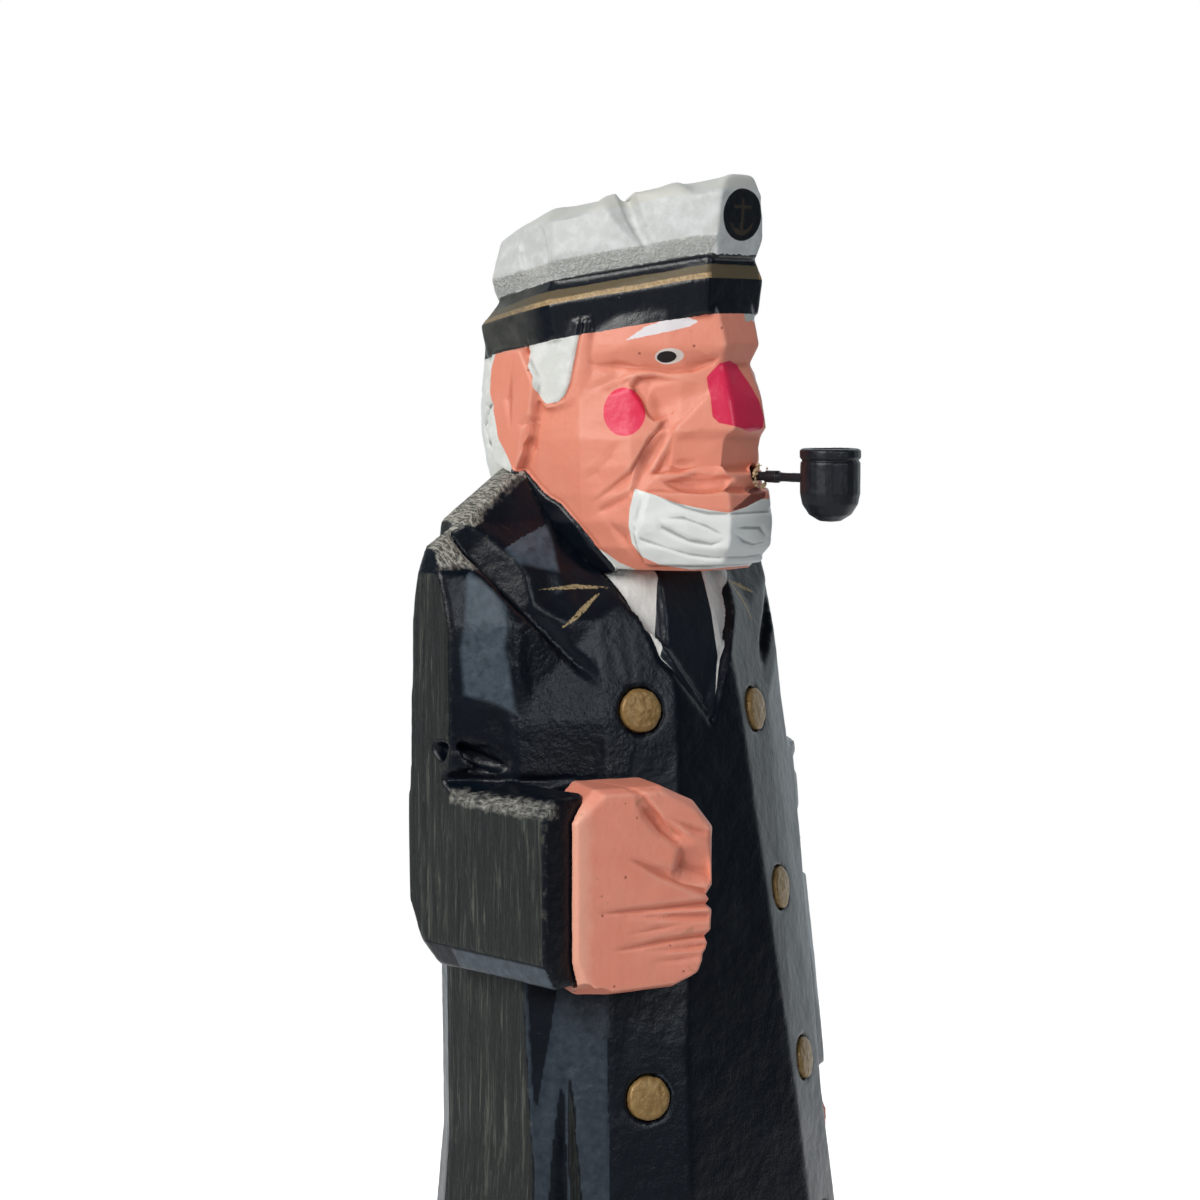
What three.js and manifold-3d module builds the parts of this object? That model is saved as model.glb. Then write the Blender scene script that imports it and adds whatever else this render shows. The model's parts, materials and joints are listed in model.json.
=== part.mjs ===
// A wooden sea captain figurine: blocks of carved and painted wood, glued together over dowels.
// Units are millimetres. +Z is up, the captain faces -Y, and the captain's left side is +X.
// A place is written as left (towards the captain's left), forward and up.
import * as THREE from "three";
import { ConvexGeometry } from "three/addons/geometries/ConvexGeometry.js";
import { mergeVertices } from "three/addons/utils/BufferGeometryUtils.js";
import Module from "manifold-3d";

const wasm = await Module();
wasm.setup();

// Sizes

const GLUE_GAP = 0.3; // between two glued faces, and round a dowel or a button
const ROUND_SIDES = 24;
const FAR = 90; // how far a cut reaches past the wood

// The trunk, as half outlines from the front to the back at each height.
const SIDE_X = 34; // the flat sides, which the arms are glued to
const HEM_Z = 78;
const SEAT_Z = 240; // the head's seat in the collar, which the shoulders and the head are set out from
const TRUNK = [
  { z: HEM_Z, half: [[18.5, 41.5], [33, 34.5], [39, 23], [39, -3], [35.5, -10.5], [25, -20]] },
  { z: 146, half: [[13.5, 34.5], [26.5, 28.5], [SIDE_X, 18.5], [SIDE_X, -1.5], [30.6, -6.9], [21.6, -15.5]] },
  { z: SEAT_Z - 24, half: [[7.8, 25.9], [20, 21.2], [SIDE_X, 13.4], [SIDE_X, -2], [31, -7.2], [21, -14]] },
  { z: SEAT_Z - 8, half: [[6.5, 22.8], [18.5, 18], [SIDE_X, 12.6], [SIDE_X, -2.6], [31, -7.6], [20, -14]] },
  { z: SEAT_Z, half: [[5.5, 20.3], [15.5, 14], [SIDE_X, 10.4], [SIDE_X, -3], [31, -7.8], [20, -14.2]] },
  { z: SEAT_Z + 8, half: [[5, 14.5], [15, 9.6], [SIDE_X, 2.8], [SIDE_X, -3], [28.4, -7.6], [18.4, -13.8]] },
  { z: SEAT_Z + 18.5, half: [[5, 9], [14.5, 3.8], [19, 2.2], [17, -2.8], [12.4, -8.2], [7.6, -12.8]] },
];
const COLLAR_REACH = 20; // how far to the side the collar's rim is cut

// The collar's rim from under the chin round to the nape, as [forward, height above the head's seat].
const COLLAR_RIM = [[FAR, -0.4], [14, -0.4], [7, 9], [-1.4, 15], [-4, 18], [-FAR, 18]];

// The neckline's V, as [left, height above the head's seat].
// The shirt lies behind the lapels and the tie on the shirt.
const NECKLINE = [[0, -24], [6.5, -14.5], [13.2, -5], [17, 12]];
const TIE = [[0, -23.5], [7, -13.5], [5.2, 1]];
const SHIRT_DEPTH = 2;
const TIE_PROUD = 0.9;

// Carved grooves, from one end to the other as [left, forward, up], with their width and depth.
// The lapel's groove follows the chest, and faces a little up, so that its upper wall is the wide one.
const LAPEL_GROOVE = {
  path: [[36.6, 0, SEAT_Z + 7], [29.7, 12.9, SEAT_Z - 6], [18.6, 20.8, SEAT_Z - 19.6]],
  facing: [0.1, 0.88, 0.47],
  width: 2.8,
  depth: 1.8,
};
const PLEAT = { from: [28.8, 21, 165.2], to: [36.2, 28.9, 72], width: 4.6, depth: 2.6, shares: [0.33, 0.97] };
const SLEEVE_CREASES = [
  { from: [42.6, 3.4, 212.8], to: [33.4, 12.6, 209], width: 2.2, depth: 1.3 },
  { from: [42.6, 5.5, 207.2], to: [34.5, 13.4, 207], width: 2, depth: 1.4 },
];
const BACK_VENT = { from: [0, -14.6, 150], to: [0, -21, 70], width: 3.6, depth: 2.2, shares: [0.3, 0.95] };

// The edge between the chest and the left arm is pared to a flat, from its foot to its top.
// Each end has the sum of left and forward on the flat, and its height above the head's seat.
const LEFT_FLAT = [{ sum: 47, up: -34 }, { sum: 42.6, up: -10 }, { sum: 37.6, up: 14 }];

// The trouser legs and the shoes
const LEGS = { top: 84, outline: [[15, 21], [24, 14], [24.5, -6], [17, -14]], gap: 3.2, gapTop: 66 };
const LEG_FOOT = { outline: [[12.5, 18], [22, 12], [22.5, -5], [15, -12]] };
const SHOE_HEIGHT = 16;
const SHOE = [
  {
    up: 0,
    toe: [[4, 31], [9, 37.5], [18, 38], [23.5, 31]],
    heel: [[24.5, 10], [23.5, -9], [18.5, -15], [6.5, -15], [2.2, -9], [2.2, 20]],
  },
  {
    up: 5,
    toe: [[4, 31], [9, 37], [18, 37.4], [23.3, 31]],
    heel: [[24, 10], [23.2, -9], [18.3, -14.5], [6.7, -14.5], [2.4, -9], [2.4, 20]],
  },
  {
    up: 8.5,
    toe: [[6, 29.5], [10, 33.5], [17, 33.8], [21.3, 29]],
    heel: [[23, 10], [22.8, -8.6], [18, -14], [7, -14], [2.8, -8.6], [3, 20]],
  },
  {
    up: SHOE_HEIGHT,
    toe: [[6.5, 17], [9.5, 19], [16, 19], [20.4, 16]],
    heel: [[22, 8], [21.8, -8], [17.4, -12.6], [7.4, -12.6], [3.4, -8], [3.4, 12]],
  },
];

// The head's half outlines, with heights above its seat.
// Their corners: nose corner, nose side, cheek, temple, ear front, ear back, nape.
const HEAD = [
  {
    up: 0,
    half: [[4.3, 30.6], [8, 27.4], [12.4, 21], [13.8, 13.5], [14, 5], [13, -4], [9, -10]],
  },
  {
    up: 3.8,
    half: [[4.9, 33.8], [9.6, 28.8], [14.6, 22], [16.6, 13.5], [16.6, 6], [14.5, -5], [10, -11]],
  },
  {
    up: 8,
    half: [[4.9, 34.2], [10, 29.4], [15.8, 22.4], [18.2, 14], [18.8, 6], [17, -6], [11, -12.5]],
  },
  {
    up: 12.5,
    half: [[4.7, 33.6], [9.6, 29.2], [15.8, 22.8], [19, 14.5], [19.8, 6], [18.8, -6.5], [12, -14]],
  },
  {
    up: 17,
    half: [[4.8, 33.3], [9.3, 28.8], [15.6, 22.8], [19.4, 15], [20.2, 6], [19.6, -7], [12.6, -15.2]],
  },
  {
    up: 21.6,
    half: [[4.6, 33.2], [8.8, 28.6], [15.4, 22.2], [19.6, 15], [20.5, 6], [20.2, -7], [13, -16]],
  },
  {
    up: 23.2,
    half: [[3.8, 34.8], [6.6, 31.6], [14.9, 21.8], [19.4, 14.6], [20.5, 6], [20.4, -7], [13, -16.2]],
  },
  {
    up: 28,
    half: [[3.8, 33.8], [6.8, 30.4], [14.4, 21.4], [18.8, 14.2], [20.4, 6], [20.5, -7], [13, -16]],
  },
  {
    up: 33.6,
    half: [[3.3, 31.4], [8.6, 27.2], [14, 20.8], [18, 14.2], [20.2, 6], [20.5, -7], [12.8, -15.2]],
  },
  {
    up: 36.8,
    half: [[4, 32.9], [10.4, 26.3], [14.8, 20.4], [18, 14.2], [20, 6], [20.2, -7], [12.5, -14.6]],
  },
];
// The head's top, inside the cap, is tipped as the cap is: a third value is how much lower a point lies.
const HEAD_TOP = {
  up: 46,
  half: [
    ...[[4.2, 30.4], [10, 25.2, 1.2], [14.6, 18.6, 2.4], [17, 13, 3.5]],
    ...[[18.6, 5, 5], [18.8, -7, 7.3], [11.5, -13, 8.5]],
  ],
};

// Raised slabs on the side of the head, and gouges in the face, on both sides.
const EAR = {
  bevel: 1.2,
  out: 22.3,
  outline: [[7, 31], [3.5, 36.5], [-3.5, 36], [-5.6, 28], [-3, 17.5], [2, 15.8], [5.6, 22]],
};
const SIDEBURN = { bevel: 1, out: 21.2, outline: [[15.3, 41], [15, 28.4], [9, 26.6], [5.6, 30], [4.6, 41]] };
const LEAN_FROM = 8; // the side of the head leans in to the face from here forward
const LEAN = 0.32;
const SLAB_ROOT = 7; // how deep a slab runs into the head
const MOUTH_UP = 15.4;
const FACE_GOUGES = [
  { from: [10, 27, 24.5], to: [15.6, 22.6, 12.6], width: 3.4, depth: 1.2 },
  { from: [15.4, 22.8, 12.8], to: [19.4, 13.6, 7.6], width: 2.6, depth: 0.8 },
  { from: [18.8, 13.6, 33.6], to: [11.6, 24.4, 32.4], width: 2.6, depth: 0.8 },
  { from: [19, 14.8, 28.2], to: [12.6, 22.8, 31.8], width: 2.2, depth: 0.7 },
  { from: [12.8, 23.6, 31.5], to: [10.6, 26.4, 22.5], width: 6.4, depth: 1 },
  { from: [6.6, 31.4, MOUTH_UP + 3], to: [12.6, 26, MOUTH_UP + 2], width: 1.6, depth: 0.6 },
  { from: [2, 33.6, MOUTH_UP - 0.2], to: [13, 25.6, MOUTH_UP - 1], width: 1.8, depth: 0.8 },
];
const BEARD = {
  proud: 0.9,
  behind: 23.2,
  outline: [[16, 1], [14.4, 13], [0, 10]], // of its left half, as [left, height above the head's seat]
};

// The cap, with heights above its own foot, which tips back.
const CAP_TILT = THREE.MathUtils.degToRad(11);
const CAP_FOOT_UP = 42;
const CAP_FRONT = 31.4;
const BAND = [
  { up: 0, half: [[6.2, 30.8], [20.6, 9.7], [21, -6.3], [12.6, -15]] },
  { up: 5.4, half: [[6.6, 32.4], [21.6, 10.4], [21.4, -6.4], [12.8, -15.2]] },
  { up: 8.6, half: [[5.4, 32.4], [20, 9.8], [18.8, -4.4], [10.9, -12.3]] },
  { up: 10.6, half: [[5, 32], [19, 9.6], [18, -3.6], [10.4, -11.2]] },
];
// A point of the crown may have a third value, how much lower it lies than its level.
const CROWN = [
  { up: 9.2, half: [[4.6, 33.2, 0.5], [19, 10.8], [18.6, -4], [11.1, -11.5]] },
  { up: 12.6, half: [[5.5, 34.5, 1], [20.4, 11.8, -0.5], [20.3, -3.5], [12, -12.1]] },
  { up: 20.6, half: [[5, 36.6, 1.4], [19.8, 12.4, 0.5], [18.8, -1.6, 1.8], [10.8, -9, 3.2]] },
  { up: 22.4, half: [[4.2, 35.8], [16.2, 11, 0.1], [15, -0.4, 1.3], [8.4, -6.2, 2]] },
];
const CAP_LEAF = {
  from: [14.2, 16.5, 63.4],
  to: [11.4, 22.7, 51.6],
  width: 5,
  depth: 1.5,
  shares: [0.15, 0.4],
};

// The arms: boards glued to the trunk's sides, whose fronts run on from the chest.
// Each level of an upper arm has its height, its front at the trunk and outside, and its back.
const ARM_OUT_X = 42.4;
const ELBOW_Z = 176;
const SLEEVE_TOP_Z = 206.6;
const CUFF_Z = 146.7; // the straight left sleeve's end
const SHOULDER = [[SIDE_X + GLUE_GAP, SEAT_Z + 7.6], [40.2, SEAT_Z + 4.4]];
const BENT_ARM = [
  [192, 13.3, 8.2, -2],
  [SLEEVE_TOP_Z, 13.3, 8.2, -2],
  [SEAT_Z - 8, 12.4, 8.2, -1],
  [SEAT_Z, 10.4, 6, 0.4],
];
const STRAIGHT_ARM = [
  [ELBOW_Z, 16, 10.6, -2],
  [SLEEVE_TOP_Z, 13.6, 5.8, -2.2],
  [SEAT_Z - 8, 12.4, 1.6, -1],
  [SEAT_Z, 10.4, 0.6, 0],
];
const FOREARM_REACH = 30.2;
const FOREARM_BEVEL = 4.2;
const ELBOW_CUT = { forward: 2.8, up: 10 }; // the corner taken off behind the elbow
const CREASE_HEIGHTS = [201.5, 190.5, 184];

// The right hand is a block that lies along the coat, from the cuff to the buttons.
const HAND = { wrist: [38, 31], fingers: [15.2, 41.4], thickness: 11.4, top: SLEEVE_TOP_Z + 0.6, foot: 174 };
const KNUCKLES = [
  { up: 198.8, reach: 0.5, rise: 5.5 },
  { up: 191.8, reach: 0.55, rise: 3.6 },
  { up: 186.9, reach: 0.86, rise: 0.4 },
  { up: 182.4, reach: 0.7, rise: -1.4 },
];

// Buttons: turned plugs in drilled recesses
// The height of each row's left and right button
const BUTTON_ROWS = [[SEAT_Z - 25, SEAT_Z - 22.8], [184.2, 185], [154.6, 154.8], [125.4, 125]];
const BUTTON = { radius: 3.5, thickness: 1.9, proud: 0.5, dome: 0.25 };

// The pipe is pushed into a hole in the mouth, a little to the captain's left.
const PIPE = { left: 3, centre: 49.2 };
const PIPE_Z = SEAT_Z + MOUTH_UP;
const BOWL = { radius: 4.95, height: 11.8, belowStem: 6.9, bore: 3.3, boreDepth: 7.2 };
const STEM = { radius: 0.75, mouth: 33.2, inMouth: 8, inBowl: 1 };
const STEM_COLLAR = { radius: 1, from: 35.6, to: 38.2 };
const SLIDE_FIT = 0.25; // between the stem and the mouth's hole

// Dowels inside the joints
const NECK_DOWEL = { radius: 3, length: 18, forward: 4 };
const SHOULDER_DOWEL = { radius: 2, length: 13, inArm: 4, forward: 2.5, belowSeat: 22 };
const HAND_DOWEL = { radius: 2, length: 13, inHand: 6, up: 190 };
const WRIST_DOWEL = { radius: 1.8, length: 14, inSleeve: 8, left: 38.3, forward: 5 };
const ANKLE_DOWEL = { radius: 3, length: 20, inShoe: 9, left: 12.5, forward: 3 };

// Making and joining solids

const place = (left, forward, up) => new THREE.Vector3(left, -forward, up);

function toSolid(geometry) {
  const bare = new THREE.BufferGeometry();
  bare.setAttribute("position", geometry.getAttribute("position").clone());
  if (geometry.index) bare.setIndex(geometry.index);
  const merged = mergeVertices(bare, 1e-3);
  return new wasm.Manifold(
    new wasm.Mesh({
      numProp: 3,
      vertProperties: new Float32Array(merged.getAttribute("position").array),
      triVerts: new Uint32Array(merged.index.array),
    }),
  );
}

function toGeometry(solid) {
  const mesh = solid.getMesh();
  const geometry = new THREE.BufferGeometry();
  geometry.setAttribute("position", new THREE.BufferAttribute(new Float32Array(mesh.vertProperties), 3));
  geometry.setIndex(new THREE.BufferAttribute(new Uint32Array(mesh.triVerts), 1));
  geometry.computeVertexNormals();
  return geometry;
}

const hull = (points) => toSolid(new ConvexGeometry(points));
const joined = (solids) => solids.reduce((whole, next) => whole.add(next));
const carved = (solid, cuts) => cuts.reduce((left, cut) => left.subtract(cut), solid);

// A solid whose skin joins rings of the same number of points, from the lowest to the highest.
function loft(rings) {
  const count = rings[0].length;
  const index = [];
  for (let level = 0; level + 1 < rings.length; level += 1) {
    for (let j = 0; j < count; j += 1) {
      const next = (j + 1) % count;
      const [a, b] = [level * count + j, level * count + next];
      index.push(a, b, b + count, a, b + count, a + count);
    }
  }
  const cap = (ring) => THREE.ShapeUtils.triangulateShape(ring.map((p) => new THREE.Vector2(p.x, p.y)), []);
  const top = (rings.length - 1) * count;
  for (const [i, j, k] of cap(rings[0])) index.push(i, k, j);
  for (const [i, j, k] of cap(rings.at(-1))) index.push(top + i, top + j, top + k);
  const positions = rings.flat().flatMap((p) => [p.x, p.y, p.z]);
  const geometry = new THREE.BufferGeometry();
  geometry.setAttribute("position", new THREE.Float32BufferAttribute(positions, 3));
  geometry.setIndex(index);
  return toSolid(geometry);
}

// A ring from a half outline and its mirror image, anticlockwise as seen from above.
function ringOf(half, pointAt) {
  const left = half.map(([l, f, lower = 0]) => pointAt(l, f, lower));
  const right = half.map(([l, f, lower = 0]) => pointAt(-l, f, lower)).reverse();
  return [...left, ...right];
}

// A half outline grown by a distance, along lines from the middle of the block.
function grown(half, by) {
  return half.map(([l, f, lower = 0]) => {
    const length = Math.hypot(l, f);
    return [l + (by * l) / length, f + (by * f) / length, lower];
  });
}

const mirrored = (solid, side) => (side > 0 ? solid : solid.mirror([1, 0, 0]));
const bothSides = (solid) => [solid, mirrored(solid, -1)];

// The middle of the wood at a height, which a groove's outward direction is measured from.
const heartOf = ([, , up]) => place(0, 6, up);

// A groove with a V section and pointed ends, cut into the wood between two places on it.
function gouge({ from, to, width, depth, facing, shares = [0.45, 0.55] }) {
  const [start, end] = [place(...from), place(...to)];
  const out = facing ? place(...facing) : start.clone().add(end).sub(heartOf(from)).sub(heartOf(to));
  const along = end.clone().sub(start).normalize();
  out.addScaledVector(along, -out.dot(along)).normalize();
  const across = new THREE.Vector3().crossVectors(along, out);
  const rise = 2 * depth;
  const half = (width / 2) * ((depth + rise) / depth);
  const at = (share, sideways, outwards) =>
    start.clone().lerp(end, share).addScaledVector(across, sideways).addScaledVector(out, outwards);
  const points = [at(0, 0, rise), at(0, 0, 0), at(1, 0, rise), at(1, 0, 0)];
  for (const share of shares) {
    points.push(at(share, half, rise), at(share, -half, rise), at(share, 0, -depth));
  }
  return hull(points);
}

// A groove through several places, with pointed ends.
function groove({ path, ...cut }) {
  const last = path.length - 2;
  const pieces = path.slice(1).map((to, i) => {
    const shares = [i === 0 ? 0.3 : 0, i === last ? 0.7 : 1];
    return gouge({ from: path[i], to, shares, ...cut });
  });
  return joined(pieces);
}

// A round rod from one place to another.
function rod(start, end, radius) {
  const axis = end.clone().sub(start);
  const geometry = new THREE.CylinderGeometry(radius, radius, axis.length(), ROUND_SIDES);
  const upright = new THREE.Vector3(0, 1, 0);
  const turn = new THREE.Quaternion().setFromUnitVectors(upright, axis.clone().normalize());
  geometry.applyQuaternion(turn);
  const middle = start.clone().add(end).multiplyScalar(0.5);
  geometry.translate(middle.x, middle.y, middle.z);
  return toSolid(geometry);
}

// A dowel from start along a direction, and the hole that it fits.
function dowel(start, direction, { radius, length }) {
  const end = start.clone().addScaledVector(direction, length);
  const before = start.clone().addScaledVector(direction, -GLUE_GAP);
  const after = end.clone().addScaledVector(direction, GLUE_GAP);
  return { solid: rod(start, end, radius), hole: rod(before, after, radius + GLUE_GAP) };
}

// An outline's left half and its mirror image, as [left, up].
const bothHalves = (half) => [...half, ...half.map(([l, up]) => [-l, up])];

// A prism through the chest or the head with a convex outline drawn as seen from the front.
function frontPrism(outline, forwardFrom, forwardTo) {
  return hull(outline.flatMap(([l, up]) => [headPlace(l, forwardFrom, up), headPlace(l, forwardTo, up)]));
}

const figure = new THREE.Group();
function addPiece(name, solid, material) {
  const mesh = new THREE.Mesh(toGeometry(solid), material);
  mesh.name = name;
  figure.add(mesh);
}

const paint = (color, roughness) => new THREE.MeshStandardMaterial({ color, roughness, metalness: 0 });
const COAT_BLACK = paint(0x14181c, 0.42);
const SKIN = paint(0xee8d74, 0.5);
const BRONZE_GOLD = new THREE.MeshStandardMaterial({ color: 0x8f6f38, roughness: 0.45, metalness: 0.4 });
const PIPE_BLACK = paint(0x17191d, 0.5);
const BARE_WOOD = paint(0xc9a574, 0.7);
const SHOE_BROWN = paint(0x2a1a12, 0.4);

// A place on the head, with its height above the seat
const headPlace = (left, forward, up) => place(left, forward, SEAT_Z + up);

// The head block's own shape, grown by a distance for the hollow that it sits in.
function headBlock(by = 0) {
  return loft(
    [...HEAD, HEAD_TOP].map(({ up, half }, level) => {
      const height = level === 0 ? up - by : up;
      return ringOf(grown(half, by), (l, f, lower) => headPlace(l, f, height - lower));
    }),
  );
}

// A raised slab on the side of the head, which leans in towards the face, grown by a distance.
function slab({ bevel, out, outline }, by = 0) {
  const count = outline.length;
  const middle = outline.reduce(([f, up], p) => [f + p[0] / count, up + p[1] / count], [0, 0]);
  return hull(
    outline.flatMap(([f, up]) => {
      const length = Math.hypot(f - middle[0], up - middle[1]);
      const [gf, gup] = [f + (by * (f - middle[0])) / length, up + (by * (up - middle[1])) / length];
      const lean = Math.max(0, f - LEAN_FROM) * LEAN;
      const skin = out - lean + by;
      return [
        headPlace(skin - SLAB_ROOT, gf, gup),
        headPlace(skin - bevel, gf, gup),
        headPlace(skin, gf * 0.92, gup - 0.4),
      ];
    }),
  );
}

// The trunk block before carving, grown or shrunk by a distance.
function trunkBlock(by = 0) {
  return loft(TRUNK.map(({ z, half }) => ringOf(grown(half, by), (l, f) => place(l, f, z))));
}

// Everything above the collar's rim
function aboveCollar() {
  const pieces = [];
  for (let i = 0; i + 1 < COLLAR_RIM.length; i += 1) {
    const [[f0, up0], [f1, up1]] = [COLLAR_RIM[i], COLLAR_RIM[i + 1]];
    const corners = [[f0, up0], [f1, up1], [f1, up1 + FAR], [f0, up0 + FAR]];
    const end = (side) => corners.map(([f, up]) => headPlace(side * COLLAR_REACH, f, up));
    pieces.push(hull([...end(-1), ...end(1)]));
  }
  return pieces;
}

// The front of the chest: shirt and tie in the neckline's V
const necklineCut = () => frontPrism(bothHalves(NECKLINE), 0, FAR);
const tie = () => frontPrism(bothHalves(TIE), 0, FAR).intersect(trunkBlock(TIE_PROUD - SHIRT_DEPTH));

// The flat on the left chest edge: everything outside it
function outsideLeftFlat() {
  return joined(
    LEFT_FLAT.slice(1).map((top, i) =>
      hull(
        [LEFT_FLAT[i], top].flatMap(({ sum, up }) =>
          [[FAR, 0], [0, FAR]].flatMap(([l, f]) => [
            headPlace(l + sum / 2, sum / 2 - l, up),
            headPlace(sum / 2 - f, f + sum / 2, up),
            headPlace(FAR + sum / 2, FAR + sum / 2, up),
          ]),
        ),
      ),
    ),
  );
}

// The two corners of a button facet at a height
function buttonFacet(z) {
  const above = TRUNK.findIndex((ring) => ring.z >= z);
  const [low, high] = [TRUNK[Math.max(above - 1, 0)], TRUNK[Math.max(above, 1)]];
  const share = (z - low.z) / (high.z - low.z);
  return [0, 1].map((k) => {
    const [l0, f0] = low.half[k];
    const [l1, f1] = high.half[k];
    return place(l0 + share * (l1 - l0), f0 + share * (f1 - f0), z);
  });
}
function buttonSeat(z) {
  const middleAt = (up) => new THREE.Vector3().addVectors(...buttonFacet(up)).multiplyScalar(0.5);
  const [inner, outer] = buttonFacet(z);
  const centre = middleAt(z);
  const upward = centre.clone().sub(middleAt(z - BUTTON.radius));
  const out = new THREE.Vector3().crossVectors(upward, outer.clone().sub(inner)).normalize();
  if (out.y > 0) out.negate();
  return { centre, out };
}

// The leg block under the coat, parted by a slot
function legs() {
  const foot = ringOf(LEG_FOOT.outline, (l, f) => place(l, f, SHOE_HEIGHT + GLUE_GAP));
  const top = ringOf(LEGS.outline, (l, f) => place(l, f, LEGS.top));
  const half = LEGS.gap / 2;
  const slotHalf = [[half, 0], [half, LEGS.gapTop - half], [0, LEGS.gapTop]];
  const slot = hull(bothHalves(slotHalf).flatMap(([l, up]) => [place(l, FAR, up), place(l, -FAR, up)]));
  return loft([foot, top]).subtract(slot);
}

// The arms, on the captain's left, with the right one turned round by mirrored()
function upperArm(levels) {
  const inner = SIDE_X + GLUE_GAP;
  const points = levels.flatMap(([up, innerFront, outerFront, back]) => [
    ...[place(inner, innerFront, up), place(ARM_OUT_X, outerFront, up)],
    ...[place(inner, back, up), place(ARM_OUT_X, back, up)],
  ]);
  for (const [l, up] of SHOULDER) points.push(place(l, 3, up), place(l, 0, up));
  return hull(points);
}
function forearm(by = 0) {
  const inner = SIDE_X + GLUE_GAP - by;
  const outer = ARM_OUT_X + by;
  const [back, front] = [-2.6 - by, FOREARM_REACH + by];
  const [low, high] = [ELBOW_Z - by, SLEEVE_TOP_Z + by];
  return hull([
    ...[place(inner, ELBOW_CUT.forward, low), place(outer - 2.2, ELBOW_CUT.forward, low)],
    place(outer, 0.8, low + FOREARM_BEVEL),
    ...[place(inner, back, low + ELBOW_CUT.up), place(outer, back, low + ELBOW_CUT.up)],
    ...[place(inner, back, high - 2), place(outer, back, high - 2)],
    ...[place(inner, front, low), place(outer - 2.2, front, low)],
    place(outer, front, low + FOREARM_BEVEL),
    ...[place(inner, front, high), place(outer - 2.6, front, high - 0.4)],
    place(outer, front, high - 3),
    ...[place(inner, 2, high), place(outer, 2, high - 2)],
  ]);
}
function straightSleeve() {
  const inner = SIDE_X + GLUE_GAP;
  const levels = [[CUFF_Z, 19.4, 15.7, 0.6], [ELBOW_Z + 8, 16.2, 10.4, -2]];
  return hull(levels.flatMap(([up, innerFront, outerFront, back]) => [
    ...[place(inner, innerFront, up), place(ARM_OUT_X, outerFront, up)],
    ...[place(inner, back, up), place(ARM_OUT_X, back, up)],
  ]));
}
function leftHandBlock() {
  const foot = CUFF_Z - 27;
  const top = CUFF_Z - GLUE_GAP;
  const ring = (l0, l1, f0, f1, up) => {
    const corners = [[l0, f0], [l1, f0], [l1, f1], [l0, f1]];
    return corners.map(([l, f]) => place(l, f, up));
  };
  return hull([
    ...ring(35.6, 41.2, 2.5, 12.6, top),
    ...ring(37.2, 44.6, 0.5, 14.2, top - 9),
    ...ring(38.6, 45.4, 0, 13.6, foot + 6),
    ...ring(39.6, 44.4, 2, 10.5, foot),
  ]);
}

// The right hand, on the captain's left too until it is mirrored
function handDirections() {
  const wrist = place(...HAND.wrist, 0);
  const along = place(...HAND.fingers, 0).sub(wrist).normalize();
  const inward = new THREE.Vector3(along.y, -along.x, 0);
  if (inward.y < 0) inward.negate();
  return { wrist, along, inward, length: place(...HAND.fingers, 0).distanceTo(wrist) };
}
function rightHandBlock() {
  const { wrist, along, inward, length } = handDirections();
  const at = (a, depth, up) => {
    const p = wrist.clone().addScaledVector(along, a).addScaledVector(inward, depth);
    return new THREE.Vector3(p.x, p.y, up);
  };
  const { thickness, top, foot } = HAND;
  const side = (depth, inset) => [
    at(inset, depth, foot + 6),
    at(inset, depth, top - 5),
    at(inset + 2.4, depth, foot + inset / 2),
    at(inset + 4.8, depth, top - inset / 2),
    at(length - 9, depth, top - inset / 2),
    at(length - 3.4, depth, top - 2.6 - inset),
    at(length - inset * 0.6, depth, top - 7),
    at(length - inset * 0.6, depth, foot + 9),
    at(length - 3, depth, foot + 3),
    at(length - 7, depth, foot + 0.6 + inset / 2),
  ];
  return hull([...side(0, 1.6), ...side(1.6, 0), ...side(thickness, 0)]);
}
function knuckleGouges() {
  const { wrist, along, length } = handDirections();
  const at = (a, up) => {
    const p = wrist.clone().addScaledVector(along, a);
    return [p.x, -p.y, up];
  };
  const creases = KNUCKLES.map(({ up, reach, rise }) => ({
    from: at(length + 1.5, up - 1.2),
    to: at(length * (1 - reach), up + rise),
    width: 1.8,
    depth: 0.9,
    shares: [0.12, 0.3],
  }));
  const thumb = {
    from: at(length * 0.44, HAND.top - 1.8),
    to: at(length * 0.98, HAND.top - 12.8),
    width: 2.6,
    depth: 1.2,
  };
  return [...creases, thumb].map(gouge);
}

// The pieces

const head = (() => {
  const capPlace = (l, f, up) => {
    const behind = f - CAP_FRONT;
    const forward = CAP_FRONT + behind * Math.cos(CAP_TILT) - up * Math.sin(CAP_TILT);
    return headPlace(l, forward, CAP_FOOT_UP + behind * Math.sin(CAP_TILT) + up * Math.cos(CAP_TILT));
  };
  const capRing = ({ up, half }) => ringOf(half, (l, f, lower) => capPlace(l, f, up - lower));
  const capLoft = (levels) => loft(levels.map(capRing));
  const headGouge = ({ from, to, ...cut }) => gouge({ from: onHead(from), to: onHead(to), ...cut });
  const onHead = ([l, f, up]) => [l, f, SEAT_Z + up];
  const beard = headBlock(BEARD.proud).intersect(frontPrism(bothHalves(BEARD.outline), BEARD.behind, FAR));
  const cap = carved(joined([capLoft(BAND), capLoft(CROWN)]), bothSides(headGouge(CAP_LEAF)));
  const face = carved(headBlock(), FACE_GOUGES.flatMap((g) => bothSides(headGouge(g))));
  return joined([face, beard, ...bothSides(slab(EAR)), ...bothSides(slab(SIDEBURN)), cap]);
})();

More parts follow.
